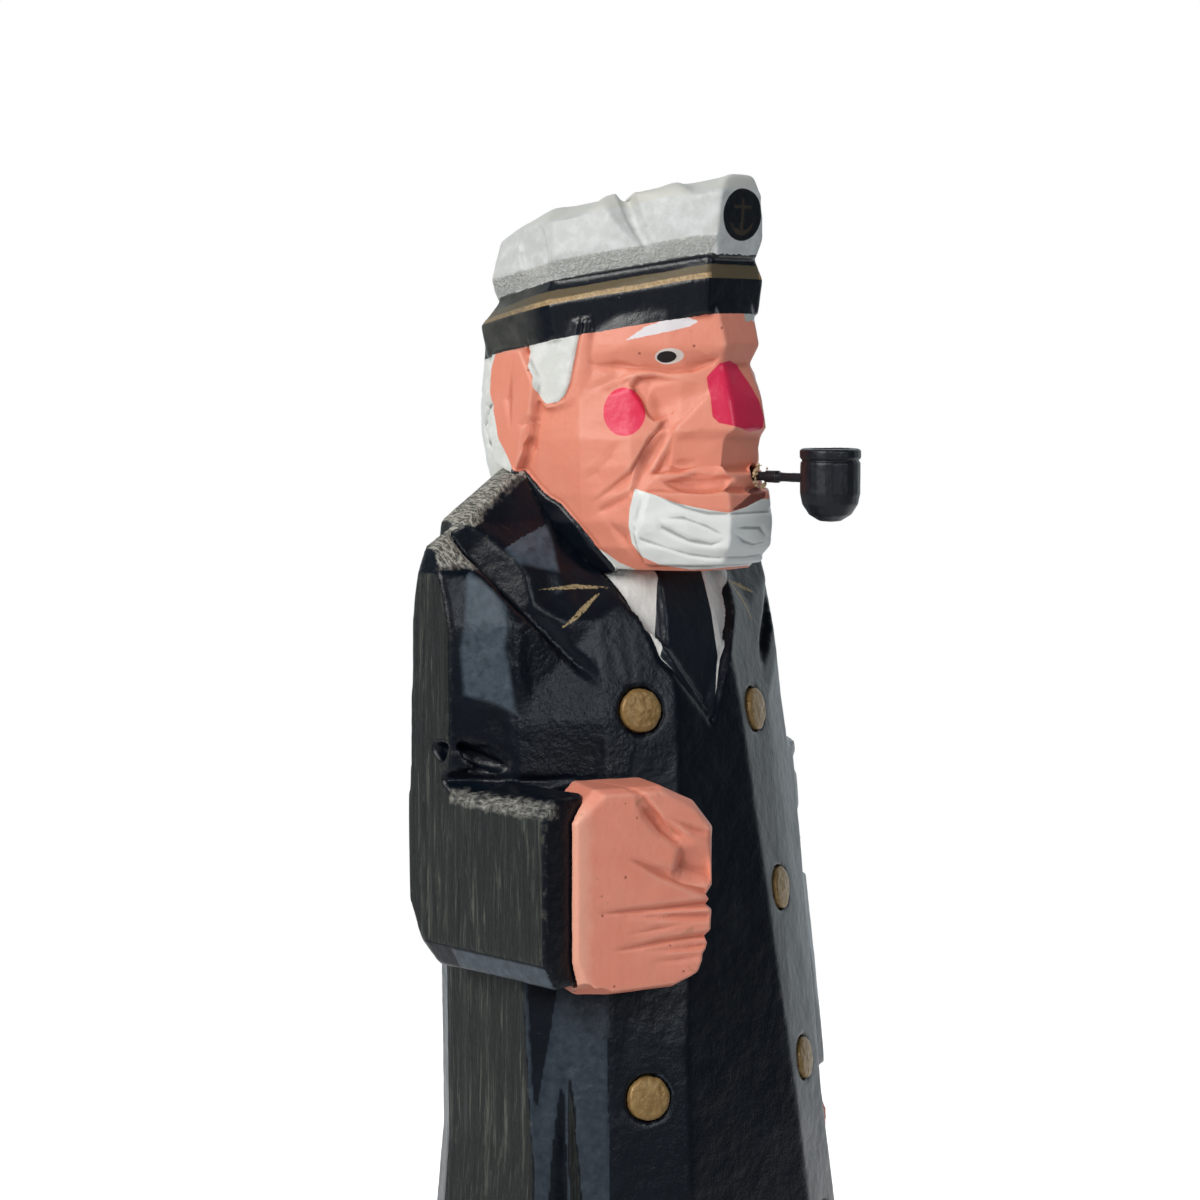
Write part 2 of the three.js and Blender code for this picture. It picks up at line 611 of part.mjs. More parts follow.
const trunk = carved(trunkBlock(), [
  ...aboveCollar(),
  necklineCut().subtract(trunkBlock(-SHIRT_DEPTH)),
  ...bothSides(groove(LAPEL_GROOVE)),
  ...bothSides(gouge(PLEAT)),
  ...SLEEVE_CREASES.flatMap((g) => bothSides(gouge(g))),
  gouge(BACK_VENT),
  outsideLeftFlat(),
])
  .add(carved(tie(), aboveCollar()))
  .subtract(joined([headBlock(GLUE_GAP), ...bothSides(slab(EAR, GLUE_GAP))]));

const rightArm = carved(joined([upperArm(BENT_ARM), forearm()]), [
  groove(LAPEL_GROOVE),
  ...SLEEVE_CREASES.map(gouge),
]);
const leftArm = carved(joined([upperArm(STRAIGHT_ARM), straightSleeve()]), [
  outsideLeftFlat(),
  groove(LAPEL_GROOVE),
  ...CREASE_HEIGHTS.map((up) =>
    gouge({ from: [33, 17, up + 2], to: [43.5, 5, up - 1.5], width: 2.6, depth: 1.4 }),
  ),
]);

function buttonShape() {
  const { radius, thickness, proud, dome } = BUTTON;
  const foot = proud - thickness;
  const profile = [[0, foot], [radius - 0.2, foot], [radius, foot + 0.2]];
  profile.push([radius, proud - dome], [radius - 0.5, proud], [0, proud + dome]);
  return new THREE.LatheGeometry(profile.map(([r, y]) => new THREE.Vector2(r, y)), ROUND_SIDES);
}
function atSeat({ centre, out }, side, geometry) {
  const turn = new THREE.Quaternion().setFromUnitVectors(new THREE.Vector3(0, 1, 0), out);
  geometry.applyQuaternion(turn);
  geometry.translate(centre.x, centre.y, centre.z);
  return mirrored(toSolid(geometry), side);
}
function recess(seat, side) {
  const { radius, thickness, proud } = BUTTON;
  const depth = thickness - proud + GLUE_GAP;
  const geometry = new THREE.CylinderGeometry(radius + GLUE_GAP, radius + GLUE_GAP, depth * 2, ROUND_SIDES);
  return atSeat(seat, side, geometry);
}
const buttons = BUTTON_ROWS.flatMap(([leftZ, rightZ], row) => [
  { name: `button_left_${row + 1}`, side: 1, seat: buttonSeat(leftZ) },
  { name: `button_right_${row + 1}`, side: -1, seat: buttonSeat(rightZ) },
]);

// The dowels
const up = new THREE.Vector3(0, 0, 1);
const leftward = new THREE.Vector3(1, 0, 0);
const neckDowel = dowel(place(0, NECK_DOWEL.forward, SEAT_Z - NECK_DOWEL.length / 2), up, NECK_DOWEL);
const shoulderStart = SIDE_X + SHOULDER_DOWEL.inArm;
const shoulderDowels = [-1, 1].map((side) =>
  dowel(
    place(side * shoulderStart, SHOULDER_DOWEL.forward, SEAT_Z - SHOULDER_DOWEL.belowSeat),
    leftward.clone().multiplyScalar(-side),
    SHOULDER_DOWEL,
  ),
);
const handSpan = handDirections();
const handMiddle = handSpan.wrist.clone().addScaledVector(handSpan.along, handSpan.length * 0.55);
const handDowelStart = handMiddle.clone().addScaledVector(handSpan.inward, HAND.thickness - HAND_DOWEL.inHand);
handDowelStart.set(-handDowelStart.x, handDowelStart.y, HAND_DOWEL.up);
const handInward = handSpan.inward.clone().multiply(new THREE.Vector3(-1, 1, 1));
const handDowel = dowel(handDowelStart, handInward, HAND_DOWEL);
const wristDowel = dowel(
  place(WRIST_DOWEL.left, WRIST_DOWEL.forward, CUFF_Z + WRIST_DOWEL.inSleeve - WRIST_DOWEL.length),
  up,
  WRIST_DOWEL,
);
const ankleDowels = [-1, 1].map((side) =>
  dowel(place(side * ANKLE_DOWEL.left, ANKLE_DOWEL.forward, SHOE_HEIGHT - ANKLE_DOWEL.inShoe), up, ANKLE_DOWEL),
);

const body = carved(trunk.add(legs()), [
  neckDowel.hole,
  handDowel.hole,
  ...shoulderDowels.map((d) => d.hole),
  ...ankleDowels.map((d) => d.hole),
  ...buttons.map(({ seat, side }) => recess(seat, side)),
]);

// The pipe
const stemFrom = place(PIPE.left, STEM.mouth - STEM.inMouth, PIPE_Z);
const bowlBack = PIPE.centre - BOWL.radius;
const stemTo = place(PIPE.left, bowlBack + STEM.inBowl, PIPE_Z);
const stem = joined([
  rod(stemFrom, stemTo, STEM.radius),
  rod(place(PIPE.left, STEM_COLLAR.from, PIPE_Z), place(PIPE.left, STEM_COLLAR.to, PIPE_Z), STEM_COLLAR.radius),
]);
const mouthHole = rod(
  place(PIPE.left, STEM.mouth - STEM.inMouth - GLUE_GAP, PIPE_Z),
  place(PIPE.left, FAR, PIPE_Z),
  STEM.radius + SLIDE_FIT,
);
function pipeBowl() {
  const { radius, height, belowStem, bore, boreDepth } = BOWL;
  const wall = radius - 0.1;
  const profile = [[0, 0], [1.8, 0.2], [3.4, 1.2], [4.5, 2.9], [wall, 4.6], [wall, height - 2.2]];
  profile.push([wall - 0.35, height - 1.9], [radius, height - 1.5], [radius, height - 0.3]);
  profile.push([radius - 0.4, height], [bore, height], [bore, height - boreDepth + 1]);
  profile.push([bore - 1, height - boreDepth], [0, height - boreDepth]);
  const geometry = new THREE.LatheGeometry(profile.map(([r, y]) => new THREE.Vector2(r, y)), ROUND_SIDES);
  geometry.rotateX(Math.PI / 2);
  const foot = place(PIPE.left, PIPE.centre, PIPE_Z - belowStem);
  geometry.translate(foot.x, foot.y, foot.z);
  const holeEnd = place(PIPE.left, bowlBack + STEM.inBowl + GLUE_GAP, PIPE_Z);
  const stemHole = rod(stemFrom, holeEnd, STEM.radius + GLUE_GAP);
  return toSolid(geometry).subtract(stemHole);
}

// The shoes
function shoe(side) {
  const rings = SHOE.map(({ up: height, toe, heel }) => [...toe, ...heel].map(([l, f]) => place(l, f, height)));
  return mirrored(loft(rings), side);
}

addPiece("body_block", body, COAT_BLACK);
addPiece("head_block", carved(head, [neckDowel.hole, mouthHole]), SKIN);
addPiece("right_arm", carved(mirrored(rightArm, -1), [shoulderDowels[0].hole]), COAT_BLACK);
addPiece("left_arm", carved(leftArm, [shoulderDowels[1].hole, wristDowel.hole]), COAT_BLACK);
const buttonRooms = buttons.filter(({ side }) => side < 0).map(({ seat, side }) => recess(seat, side));
const handSeat = [trunkBlock(GLUE_GAP), mirrored(forearm(GLUE_GAP), -1), ...buttonRooms];
const handCuts = [...knuckleGouges().map((g) => mirrored(g, -1)), ...handSeat, handDowel.hole];
addPiece("right_hand", carved(mirrored(rightHandBlock(), -1), handCuts), SKIN);
addPiece("left_hand", leftHandBlock().subtract(wristDowel.hole), SKIN);
for (const { name, side, seat } of buttons) addPiece(name, atSeat(seat, side, buttonShape()), BRONZE_GOLD);
addPiece("pipe_stem", stem, PIPE_BLACK);
addPiece("pipe_bowl", pipeBowl(), PIPE_BLACK);
addPiece("neck_dowel", neckDowel.solid, BARE_WOOD);
addPiece("right_shoulder_dowel", shoulderDowels[0].solid, BARE_WOOD);
addPiece("left_shoulder_dowel", shoulderDowels[1].solid, BARE_WOOD);
addPiece("right_hand_dowel", handDowel.solid, BARE_WOOD);
addPiece("left_wrist_dowel", wristDowel.solid, BARE_WOOD);
["right", "left"].forEach((name, i) => {
  addPiece(`${name}_shoe`, shoe(i ? 1 : -1).subtract(ankleDowels[i].hole), SHOE_BROWN);
  addPiece(`${name}_ankle_dowel`, ankleDowels[i].solid, BARE_WOOD);
});

// The origin is the middle of the whole figure's outline, on the ground.
const bounds = new THREE.Box3().setFromObject(figure);
const middle = bounds.getCenter(new THREE.Vector3());
figure.position.set(-middle.x, -middle.y, -bounds.min.z);
const group = new THREE.Group();
group.add(figure);

export default group;
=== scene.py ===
"""A carved and painted wooden sea captain on a pale floor, dressed round its solids."""
import json
import math

import bpy
import numpy as np
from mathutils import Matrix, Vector


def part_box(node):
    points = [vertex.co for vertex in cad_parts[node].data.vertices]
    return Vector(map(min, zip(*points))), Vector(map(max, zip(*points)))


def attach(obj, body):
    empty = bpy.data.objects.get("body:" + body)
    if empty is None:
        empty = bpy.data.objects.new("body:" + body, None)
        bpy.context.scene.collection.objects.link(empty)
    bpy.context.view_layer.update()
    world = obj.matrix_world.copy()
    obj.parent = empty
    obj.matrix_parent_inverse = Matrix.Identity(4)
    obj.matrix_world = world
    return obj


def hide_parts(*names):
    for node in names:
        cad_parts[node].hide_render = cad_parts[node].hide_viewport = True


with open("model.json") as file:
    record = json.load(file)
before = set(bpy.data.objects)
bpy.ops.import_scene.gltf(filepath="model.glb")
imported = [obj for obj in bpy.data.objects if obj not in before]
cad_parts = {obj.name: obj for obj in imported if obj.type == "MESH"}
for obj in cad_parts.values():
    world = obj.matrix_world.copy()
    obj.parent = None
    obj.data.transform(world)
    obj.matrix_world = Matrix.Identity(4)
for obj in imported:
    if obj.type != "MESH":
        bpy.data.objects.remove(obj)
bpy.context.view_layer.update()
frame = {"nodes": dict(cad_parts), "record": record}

MM = 0.001
SCENE = bpy.context.scene

# The figure's own places: left, forward and up in millimetres, from the line under the head's middle
NECK_FORWARD = 4
neck_low, neck_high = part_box("neck_dowel")
MIDDLE = np.array([(neck_low.x + neck_high.x) / 2,
                   (neck_low.y + neck_high.y) / 2 + NECK_FORWARD * MM, 0]) / MM
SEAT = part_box("head_block")[0].z / MM
SLOT_OF = {part["node"]: part["material_slot"] for part in frame["record"]["subparts"]}


def at(left, forward, up):
    """A place on the figure as a point in the frame, in metres."""
    return Vector((MIDDLE[0] + left, MIDDLE[1] - forward, up)) * MM


# Noise, outlines and cuts over arrays of points

LATTICE_SIDE = 48
LATTICE = np.random.default_rng(11).random((LATTICE_SIDE,) * 3)
CUT_END_WIDTH = 0.4  # how wide a cut's walls are where its depth runs out, as a share of their full width


def unit(vector):
    vector = np.array(vector, float)
    return vector / np.linalg.norm(vector)


def noise(points, size, shift=0.0):
    """Smooth noise from -1 to 1 whose bumps lie about one size apart; size may differ by direction."""
    cell = points / np.array(size, float) + shift
    low = np.floor(cell).astype(int)
    part = cell - low
    part = part * part * (3 - 2 * part)
    total = np.zeros(len(points))
    for corner in range(8):
        step = np.array([corner & 1, corner >> 1 & 1, corner >> 2 & 1])
        index = (low + step) % LATTICE_SIDE
        weight = np.prod(np.where(step, part, 1 - part), axis=1)
        total += weight * LATTICE[index[:, 0], index[:, 1], index[:, 2]]
    return 2 * total - 1


def smoothstep(values, low, high):
    """0 up to low, 1 from high on, and a soft ramp between them."""
    share = np.clip((values - low) / (high - low), 0, 1)
    return share * share * (3 - 2 * share)


def inside(plane, outline):
    """How far each point of a plane lies inside an outline, in its units; outside it is negative."""
    outline = np.array(outline, float)
    distance = np.full(len(plane), np.inf)
    within = np.zeros(len(plane), bool)
    for a, b in zip(outline, np.roll(outline, -1, axis=0)):
        edge = b - a
        offset = plane - a
        share = np.clip(offset @ edge / (edge @ edge), 0, 1)
        distance = np.minimum(distance, np.linalg.norm(offset - share[:, None] * edge, axis=1))
        spans = (a[1] > plane[:, 1]) != (b[1] > plane[:, 1])
        if spans.any():
            crossing = edge[0] * (plane[:, 1] - a[1]) / (edge[1] or 1e-9) + a[0]
            within ^= spans & (plane[:, 0] < crossing)
    return np.where(within, distance, -distance)


def stroke(plane, places, widths):
    """How far each point lies inside a brush stroke through places, whose width varies along it."""
    best = np.full(len(plane), -np.inf)
    for (a, b), (wa, wb) in zip(zip(places, places[1:]), zip(widths, widths[1:])):
        a, b = np.array(a, float), np.array(b, float)
        edge = b - a
        offset = plane - a
        share = np.clip(offset @ edge / (edge @ edge), 0, 1)
        away = np.linalg.norm(offset - share[:, None] * edge, axis=1)
        best = np.maximum(best, (wa + share * (wb - wa)) / 2 - away)
    return best


def oval(plane, middle, half):
    """How far each point lies inside an oval of a given half width and height."""
    offset = (plane - np.array(middle, float)) / np.array(half, float)
    return (1 - np.linalg.norm(offset, axis=1)) * min(half)


def notch(plane, places, walls, depths):
    """The depth of a V cut through places of a plane, with its walls' widths left and right of its way.

    Only the stretch nearest to a point counts there, and a negative depth makes a ridge.
    """
    deepest = np.zeros(len(plane))
    nearest = np.full(len(plane), np.inf)
    most = max(abs(depth) for depth in depths)
    for (a, b), (depth_a, depth_b) in zip(zip(places, places[1:]), zip(depths, depths[1:])):
        a, b = np.array(a, float), np.array(b, float)
        edge = b - a
        offset = plane - a
        share = np.clip(offset @ edge / (edge @ edge), 0, 1)
        away = np.linalg.norm(offset - share[:, None] * edge, axis=1)
        turn = edge[0] * offset[:, 1] - edge[1] * offset[:, 0]
        depth = depth_a + share * (depth_b - depth_a)
        width = np.where(turn > 0, walls[0], walls[1])
        width = width * (CUT_END_WIDTH + (1 - CUT_END_WIDTH) * np.abs(depth) / most)
        deepest = np.where(away < nearest, depth * np.clip(1 - away / width, 0, 1), deepest)
        nearest = np.minimum(nearest, away)
    return deepest


def joined_mesh(name, parts):
    """One mesh of several of the solids, each shifted in millimetres and scaled about its own middle."""
    vertices = []
    faces = []
    for node, shift, scale in parts:
        mesh = frame["nodes"][node].data
        rows = np.empty(len(mesh.vertices) * 3, np.float32)
        mesh.vertices.foreach_get("co", rows)
        rows = rows.reshape(-1, 3)
        middle = (rows.min(axis=0) + rows.max(axis=0)) / 2
        first = len(vertices)
        vertices += ((rows - middle) * scale + middle + np.array(shift) * MM).tolist()
        faces += [[first + i for i in face.vertices] for face in mesh.polygons]
    made = bpy.data.meshes.new(name)
    made.from_pydata(vertices, [], faces)
    return made


# How far a knife's cut reaches: past its edge, through the wood, and round the skin
KNIFE_EDGE = 0.6
KNIFE_REACH = 2.5
KNIFE_FACING = 0.55


class Block:
    """A fine copy of one or more of the solids, whose skin is carved and painted point by point."""

    def __init__(self, name, nodes, voxel, soften, body="figure", fillers=()):
        self.nodes = nodes
        self.body = body
        parts = [(node, (0, 0, 0), 1) for node in nodes] + list(fillers)
        self.piece = bpy.data.objects.new(name, joined_mesh(name, parts))
        SCENE.collection.objects.link(self.piece)
        fine = self.piece.modifiers.new("fine", "REMESH")
        fine.mode = "VOXEL"
        fine.voxel_size = voxel * MM
        soft = self.piece.modifiers.new("soft", "SMOOTH")
        soft.factor = 0.5
        soft.iterations = soften
        self.settle()
        mesh = self.piece.data
        pairs = np.empty(len(mesh.edges) * 2, np.int32)
        mesh.edges.foreach_get("vertices", pairs)
        self.edges = pairs.reshape(-1, 2)
        self.count = len(mesh.vertices)
        self.neighbours = np.bincount(self.edges.ravel(), minlength=self.count).astype(float)
        rows = np.empty(self.count * 3, np.float32)
        mesh.vertices.foreach_get("co", rows)
        rows = rows.reshape(-1, 3).astype(float) / MM - MIDDLE
        self.points = rows * [1, -1, 1]

    def settle(self):
        """Applies the modifiers."""
        graph = bpy.context.evaluated_depsgraph_get()
        mesh = bpy.data.meshes.new_from_object(self.piece.evaluated_get(graph))
        self.piece.modifiers.clear()
        self.piece.data = mesh

    def store(self):
        rows = (self.points * [1, -1, 1] + MIDDLE) * MM
        self.piece.data.vertices.foreach_set("co", rows.astype(np.float32).ravel())
        self.piece.data.update()

    def normals(self):
        self.store()
        rows = np.empty(self.count * 3, np.float32)
        self.piece.data.vertex_normals.foreach_get("vector", rows)
        return rows.reshape(-1, 3).astype(float) * [1, -1, 1]

    def averaged(self, values):
        """Each point's mean over its neighbours."""
        a, b = self.edges.T
        total = np.empty_like(values)
        for column in range(values.shape[1]):
            row = values[:, column]
            total[:, column] = np.bincount(a, row[b], self.count) + np.bincount(b, row[a], self.count)
        return total / self.neighbours[:, None]

    def smooth(self, rounds, share=1.0):
        share = np.broadcast_to(np.asarray(share, float), (self.count,))[:, None]
        for _ in range(rounds):
            self.points += 0.5 * share * (self.averaged(self.points) - self.points)

    def relief(self, rounds):
        """How far the skin stands above its own smoothed shape: ridges are positive, hollows negative."""
        even = self.points.copy()
        for _ in range(rounds):
            even += 0.7 * (self.averaged(even) - even)
        return np.einsum("ij,ij->i", self.points - even, self.normals())

    def nearest(self, place):
        return int(np.argmin(np.sum((self.points - place) ** 2, axis=1)))

    def carve(self, depth):
        """Takes wood off the skin, as deep as given at each point."""
        even = self.averaged(self.averaged(self.normals()))
        even /= np.linalg.norm(even, axis=1)[:, None] + 1e-9
        self.points -= even * np.asarray(depth, float)[:, None]

    def cut(self, start, end, width, depth, outward):
        """A knife's shallow trough from one place on the skin to another."""
        first = self.points[self.nearest(start)]
        last = self.points[self.nearest(end)]
        middle = (first + last) / 2
        along = unit(last - first)
        outward = unit(outward - (outward @ along) * along)
        across = np.cross(along, outward)
        offset = self.points - middle
        u = offset @ along / (np.linalg.norm(last - first) / 2)
        w = offset @ across / (width / 2)
        height = offset @ outward
        floor = depth * (u * u + w * w - 1)
        hit = (height > floor) & (floor < depth * KNIFE_EDGE)
        hit &= (np.abs(height) < KNIFE_REACH) & (self.skin @ outward > KNIFE_FACING)
        self.points[hit] += (floor - height)[hit, None] * outward

    def whittle(self, seed, number, length, width, depth, share=None):
        """Shallow knife facets at random places, roughly upright."""
        rng = np.random.default_rng(seed)
        self.skin = self.normals()
        weight = np.ones(self.count) if share is None else np.clip(share, 0, 1)
        picks = rng.choice(self.count, number, p=weight / weight.sum())
        for pick in picks:
            outward = self.skin[pick]
            line = np.array([0, 0, 1]) + rng.normal(0, 0.35, 3)
            line -= (line @ outward) * outward
            if np.linalg.norm(line) < 0.2:
                continue
            line = unit(line) * length * rng.uniform(0.6, 1.3) / 2
            place = self.points[pick]
            self.cut(place - line, place + line, width * rng.uniform(0.7, 1.3),
                     depth * rng.uniform(0.5, 1.3), outward)

    def push(self, amount):
        """Raises the skin, as far as given at each point."""
        self.points += self.normals() * np.asarray(amount, float)[:, None]

    def mark(self, name, values):
        """Keeps a value for each point, which the paint reads."""
        attribute = self.piece.data.attributes.new(name, "FLOAT", "POINT")
        attribute.data.foreach_set("value", np.asarray(values, np.float32))

    def finish(self, material):
        """Paints the piece and puts it in place of its solids."""
        self.store()
        self.piece.data.materials.append(material)
        self.piece.data.polygons.foreach_set("use_smooth", np.ones(len(self.piece.data.polygons), bool))
        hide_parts(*self.nodes)
        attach(self.piece, self.body)


# Paint

def add_node(tree, kind, inputs=(), **settings):
    """A new node, with each input set to a value or linked to another node's output."""
    made = tree.nodes.new(kind)
    for key, value in settings.items():
        setattr(made, key, value)
    for key, value in dict(inputs).items():
        if isinstance(value, bpy.types.NodeSocket):
            tree.links.new(value, made.inputs[key])
        else:
            made.inputs[key].default_value = value
    return made


class Finish:
    """A painted finish: layers of colour over each other, with one relief and one gloss."""

    def __init__(self, name, base, roughness):
        self.material = bpy.data.materials.new(name)
        self.material.use_nodes = True
        self.tree = self.material.node_tree
        self.shader = self.tree.nodes["Principled BSDF"]
        self.coordinates = self.tree.nodes.new("ShaderNodeTexCoord").outputs["Object"]
        self.color = base
        self.rough = roughness
        self.height = 0.0

    def add(self, kind, inputs=(), **settings):
        return add_node(self.tree, kind, inputs, **settings)

    def math(self, operation, a, b):
        return self.add("ShaderNodeMath", {0: a, 1: b}, operation=operation).outputs[0]

    def times(self, a, b):
        return self.math("MULTIPLY", a, b)

    def mapped(self, size):
        """The figure's coordinates in steps of a size, in millimetres."""
        size = (size,) * 3 if np.isscalar(size) else size
        scale = [1 / (s * MM) for s in size]
        return self.add("ShaderNodeMapping", {"Vector": self.coordinates, "Scale": scale}).outputs[0]

    def noise(self, size, detail, rough, twist=0.0):
        inputs = {"Vector": self.mapped(size), "Scale": 1.0, "Detail": detail, "Roughness": rough,
                  "Distortion": twist}
        return self.add("ShaderNodeTexNoise", inputs).outputs["Fac"]

    def spread(self, value, low, high):
        """A value stretched so that low becomes 0 and high becomes 1."""
        made = self.add("ShaderNodeMapRange", {"Value": value, "From Min": low, "From Max": high},
                        interpolation_type="SMOOTHSTEP")
        return made.outputs["Result"]

    def field(self, name):
        """A value that was kept for each point of the skin."""
        return self.add("ShaderNodeAttribute", attribute_name=name).outputs["Fac"]

    def region(self, name, edge, ragged=0.0, size=0.8):
        """A painted area's mask, with an edge that may waver."""
        value = self.field(name)
        if ragged:
            waver = self.math("SUBTRACT", self.noise(size, 2.0, 0.6), 0.5)
            value = self.math("ADD", value, self.times(waver, 2 * ragged))
        return self.spread(value, -edge, edge)

    def mix(self, share, a, b):
        """A colour between two, each of them a socket or three numbers."""
        a, b = (color if isinstance(color, bpy.types.NodeSocket) else (*color, 1) for color in (a, b))
        return self.add("ShaderNodeMix", {0: share, 6: a, 7: b}, data_type="RGBA").outputs[2]

    def layer(self, mask, color, rough=None, strength=1.0):
        """Lays a colour over what is there, where the mask is."""
        if strength != 1.0:
            mask = self.times(mask, strength)
        self.color = self.mix(mask, self.color, color)
        if rough is not None:
            away = self.math("SUBTRACT", rough, self.rough)
            self.rough = self.math("ADD", self.rough, self.times(away, mask))

    def raise_by(self, value, amount, mask=None):
        """Adds a relief, in millimetres."""
        value = self.times(value, amount)
        if mask is not None:
            value = self.times(value, mask)
        self.height = self.math("ADD", self.height, value)

    def done(self, specular=0.5):
        """Links the layers to the shader."""
        link = self.tree.links.new
        link(self.color, self.shader.inputs["Base Color"])
        link(self.rough, self.shader.inputs["Roughness"])
        self.shader.inputs["Specular IOR Level"].default_value = specular
        bump = self.add("ShaderNodeBump", {"Height": self.height, "Strength": 1.0, "Distance": MM})
        link(bump.outputs["Normal"], self.shader.inputs["Normal"])
        return self.material


BLACK = (0.0016, 0.0042, 0.0090)
SKIN = (0.88, 0.30, 0.20)
SKIN_SHADE = (0.60, 0.16, 0.09)
WHITE = (0.88, 0.89, 0.86)
RED = (0.86, 0.012, 0.072)
BARE = (0.62, 0.46, 0.27)
COAT_SPECULAR = 0.32


def pits(finish, size, share, depth, color):
    """Small open pores in the paint."""
    cells = finish.add("ShaderNodeTexVoronoi", {"Vector": finish.mapped(size), "Scale": 1.0})
    chosen = finish.spread(finish.add("ShaderNodeSeparateColor", {0: cells.outputs["Color"]}).outputs[0],
                           1 - share, 1 - share + 0.02)
    spot = finish.math("SUBTRACT", 1.0, finish.spread(cells.outputs["Distance"], 0.08, 0.16))
    spot = finish.times(spot, chosen)
    finish.layer(spot, color)
    finish.raise_by(spot, -depth)


def orange_peel(finish, size, amount, mask=None):
    finish.raise_by(finish.noise(size, 3.0, 0.6), amount, mask)


def coat_material():
    finish = Finish("coat_paint", BLACK, 0.34)
    faded = finish.spread(finish.noise(5.0, 4.0, 0.65), 0.45, 0.8)
    finish.layer(faded, (0.0040, 0.0090, 0.0170), 0.46, 0.5)
    # Painted sheen: pale blue-grey where the chest's facets, the forearm's lower bevel and the skirt's
    # slanting facets catch the light
    painted_sheen = finish.times(finish.region("painted_sheen", 0.5), finish.noise(1.6, 4.0, 0.6))
    finish.layer(painted_sheen, (0.132, 0.172, 0.215), 0.36)
    orange_peel(finish, 0.7, 0.04)
    orange_peel(finish, 2.2, 0.12)
    orange_peel(finish, 0.8, 0.13, finish.region("leather", 0.5))
    grain = finish.region("grain", 0.5)
    streaks = finish.noise((0.9, 0.9, 15.0), 5.0, 0.75, 0.6)
    finish.layer(grain, (0.014, 0.017, 0.014), 0.5, 0.8)
    lines = finish.spread(streaks, 0.50, 0.68)
    patchy = finish.spread(finish.noise((4.0, 4.0, 14.0), 3.0, 0.6), 0.3, 0.6)
    streaked = finish.times(finish.times(lines, grain), patchy)
    finish.layer(streaked, (0.12, 0.138, 0.11), 0.6, 0.8)
    finish.raise_by(streaks, -0.30, grain)
    ridge = finish.spread(finish.field("relief"), 0.07, 0.25)
    chipped = finish.times(ridge, finish.spread(finish.noise(1.3, 3.0, 0.7), 0.50, 0.72))
    finish.layer(chipped, (0.16, 0.155, 0.13), 0.65, 0.35)
    worn = finish.region("worn", 0.4, 0.5, 1.2)
    cracks = finish.spread(finish.noise((0.4, 1.6, 0.9), 4.0, 0.75), 0.34, 0.58)
    pale = finish.mix(cracks, (0.07, 0.07, 0.062), (0.52, 0.51, 0.45))
    finish.layer(worn, pale, 0.75, 0.9)
    finish.raise_by(cracks, 0.22, worn)
    shirt = finish.region("shirt", 0.06, 0.05)
    linen = finish.mix(finish.spread(finish.noise((1.2, 1.2, 4.0), 4.0, 0.7), 0.3, 0.75),
                       (0.72, 0.71, 0.67), (0.88, 0.88, 0.85))
    finish.layer(shirt, linen, 0.55)
    tie = finish.region("tie", 0.06, 0.04)
    finish.layer(tie, (0.007, 0.011, 0.018), 0.36)
    marks = finish.region("marks", 0.08, 0.14, 0.5)
    broken = finish.spread(finish.noise(0.5, 3.0, 0.7), 0.34, 0.5)
    finish.layer(finish.times(marks, broken), (0.42, 0.32, 0.17), 0.55)
    return finish.done(COAT_SPECULAR)


def skin_layers(finish):
    """What the head's and the hands' salmon paint share."""
    patches = finish.spread(finish.noise(6.0, 3.0, 0.6), 0.35, 0.75)
    finish.layer(patches, (0.93, 0.36, 0.25), 0.5, 0.4)
    brushed = finish.spread(finish.noise((1.0, 1.0, 7.0), 3.0, 0.6), 0.5, 0.8)
    finish.layer(brushed, (0.80, 0.25, 0.16), 0.5, 0.25)
    # Painted shade in the hollows and painted highlight on the ridges
    hollow = finish.spread(finish.field("relief"), -0.01, -0.12)
    finish.layer(hollow, SKIN_SHADE, 0.5, 0.6)
    ridge = finish.spread(finish.field("relief"), 0.03, 0.15)
    finish.layer(ridge, (0.95, 0.45, 0.33), 0.45, 0.35)
    pits(finish, 1.8, 0.12, 0.06, (0.45, 0.13, 0.08))
    orange_peel(finish, 0.9, 0.06)
    orange_peel(finish, 0.35, 0.02)


def hand_material():
    finish = Finish("hand_paint", SKIN, 0.48)
    skin_layers(finish)
    # Painted highlight: lighter salmon on the fist's outer bevel by the cuff
    finish.layer(finish.region("edge", 1.0, 0.8, 2.6), (0.97, 0.50, 0.36), 0.4, 0.6)
    stain = finish.spread(finish.noise(3.0, 3.0, 0.6), 0.66, 0.74)
    finish.layer(stain, (0.42, 0.2, 0.1), 0.55, 0.35)
    return finish.done()


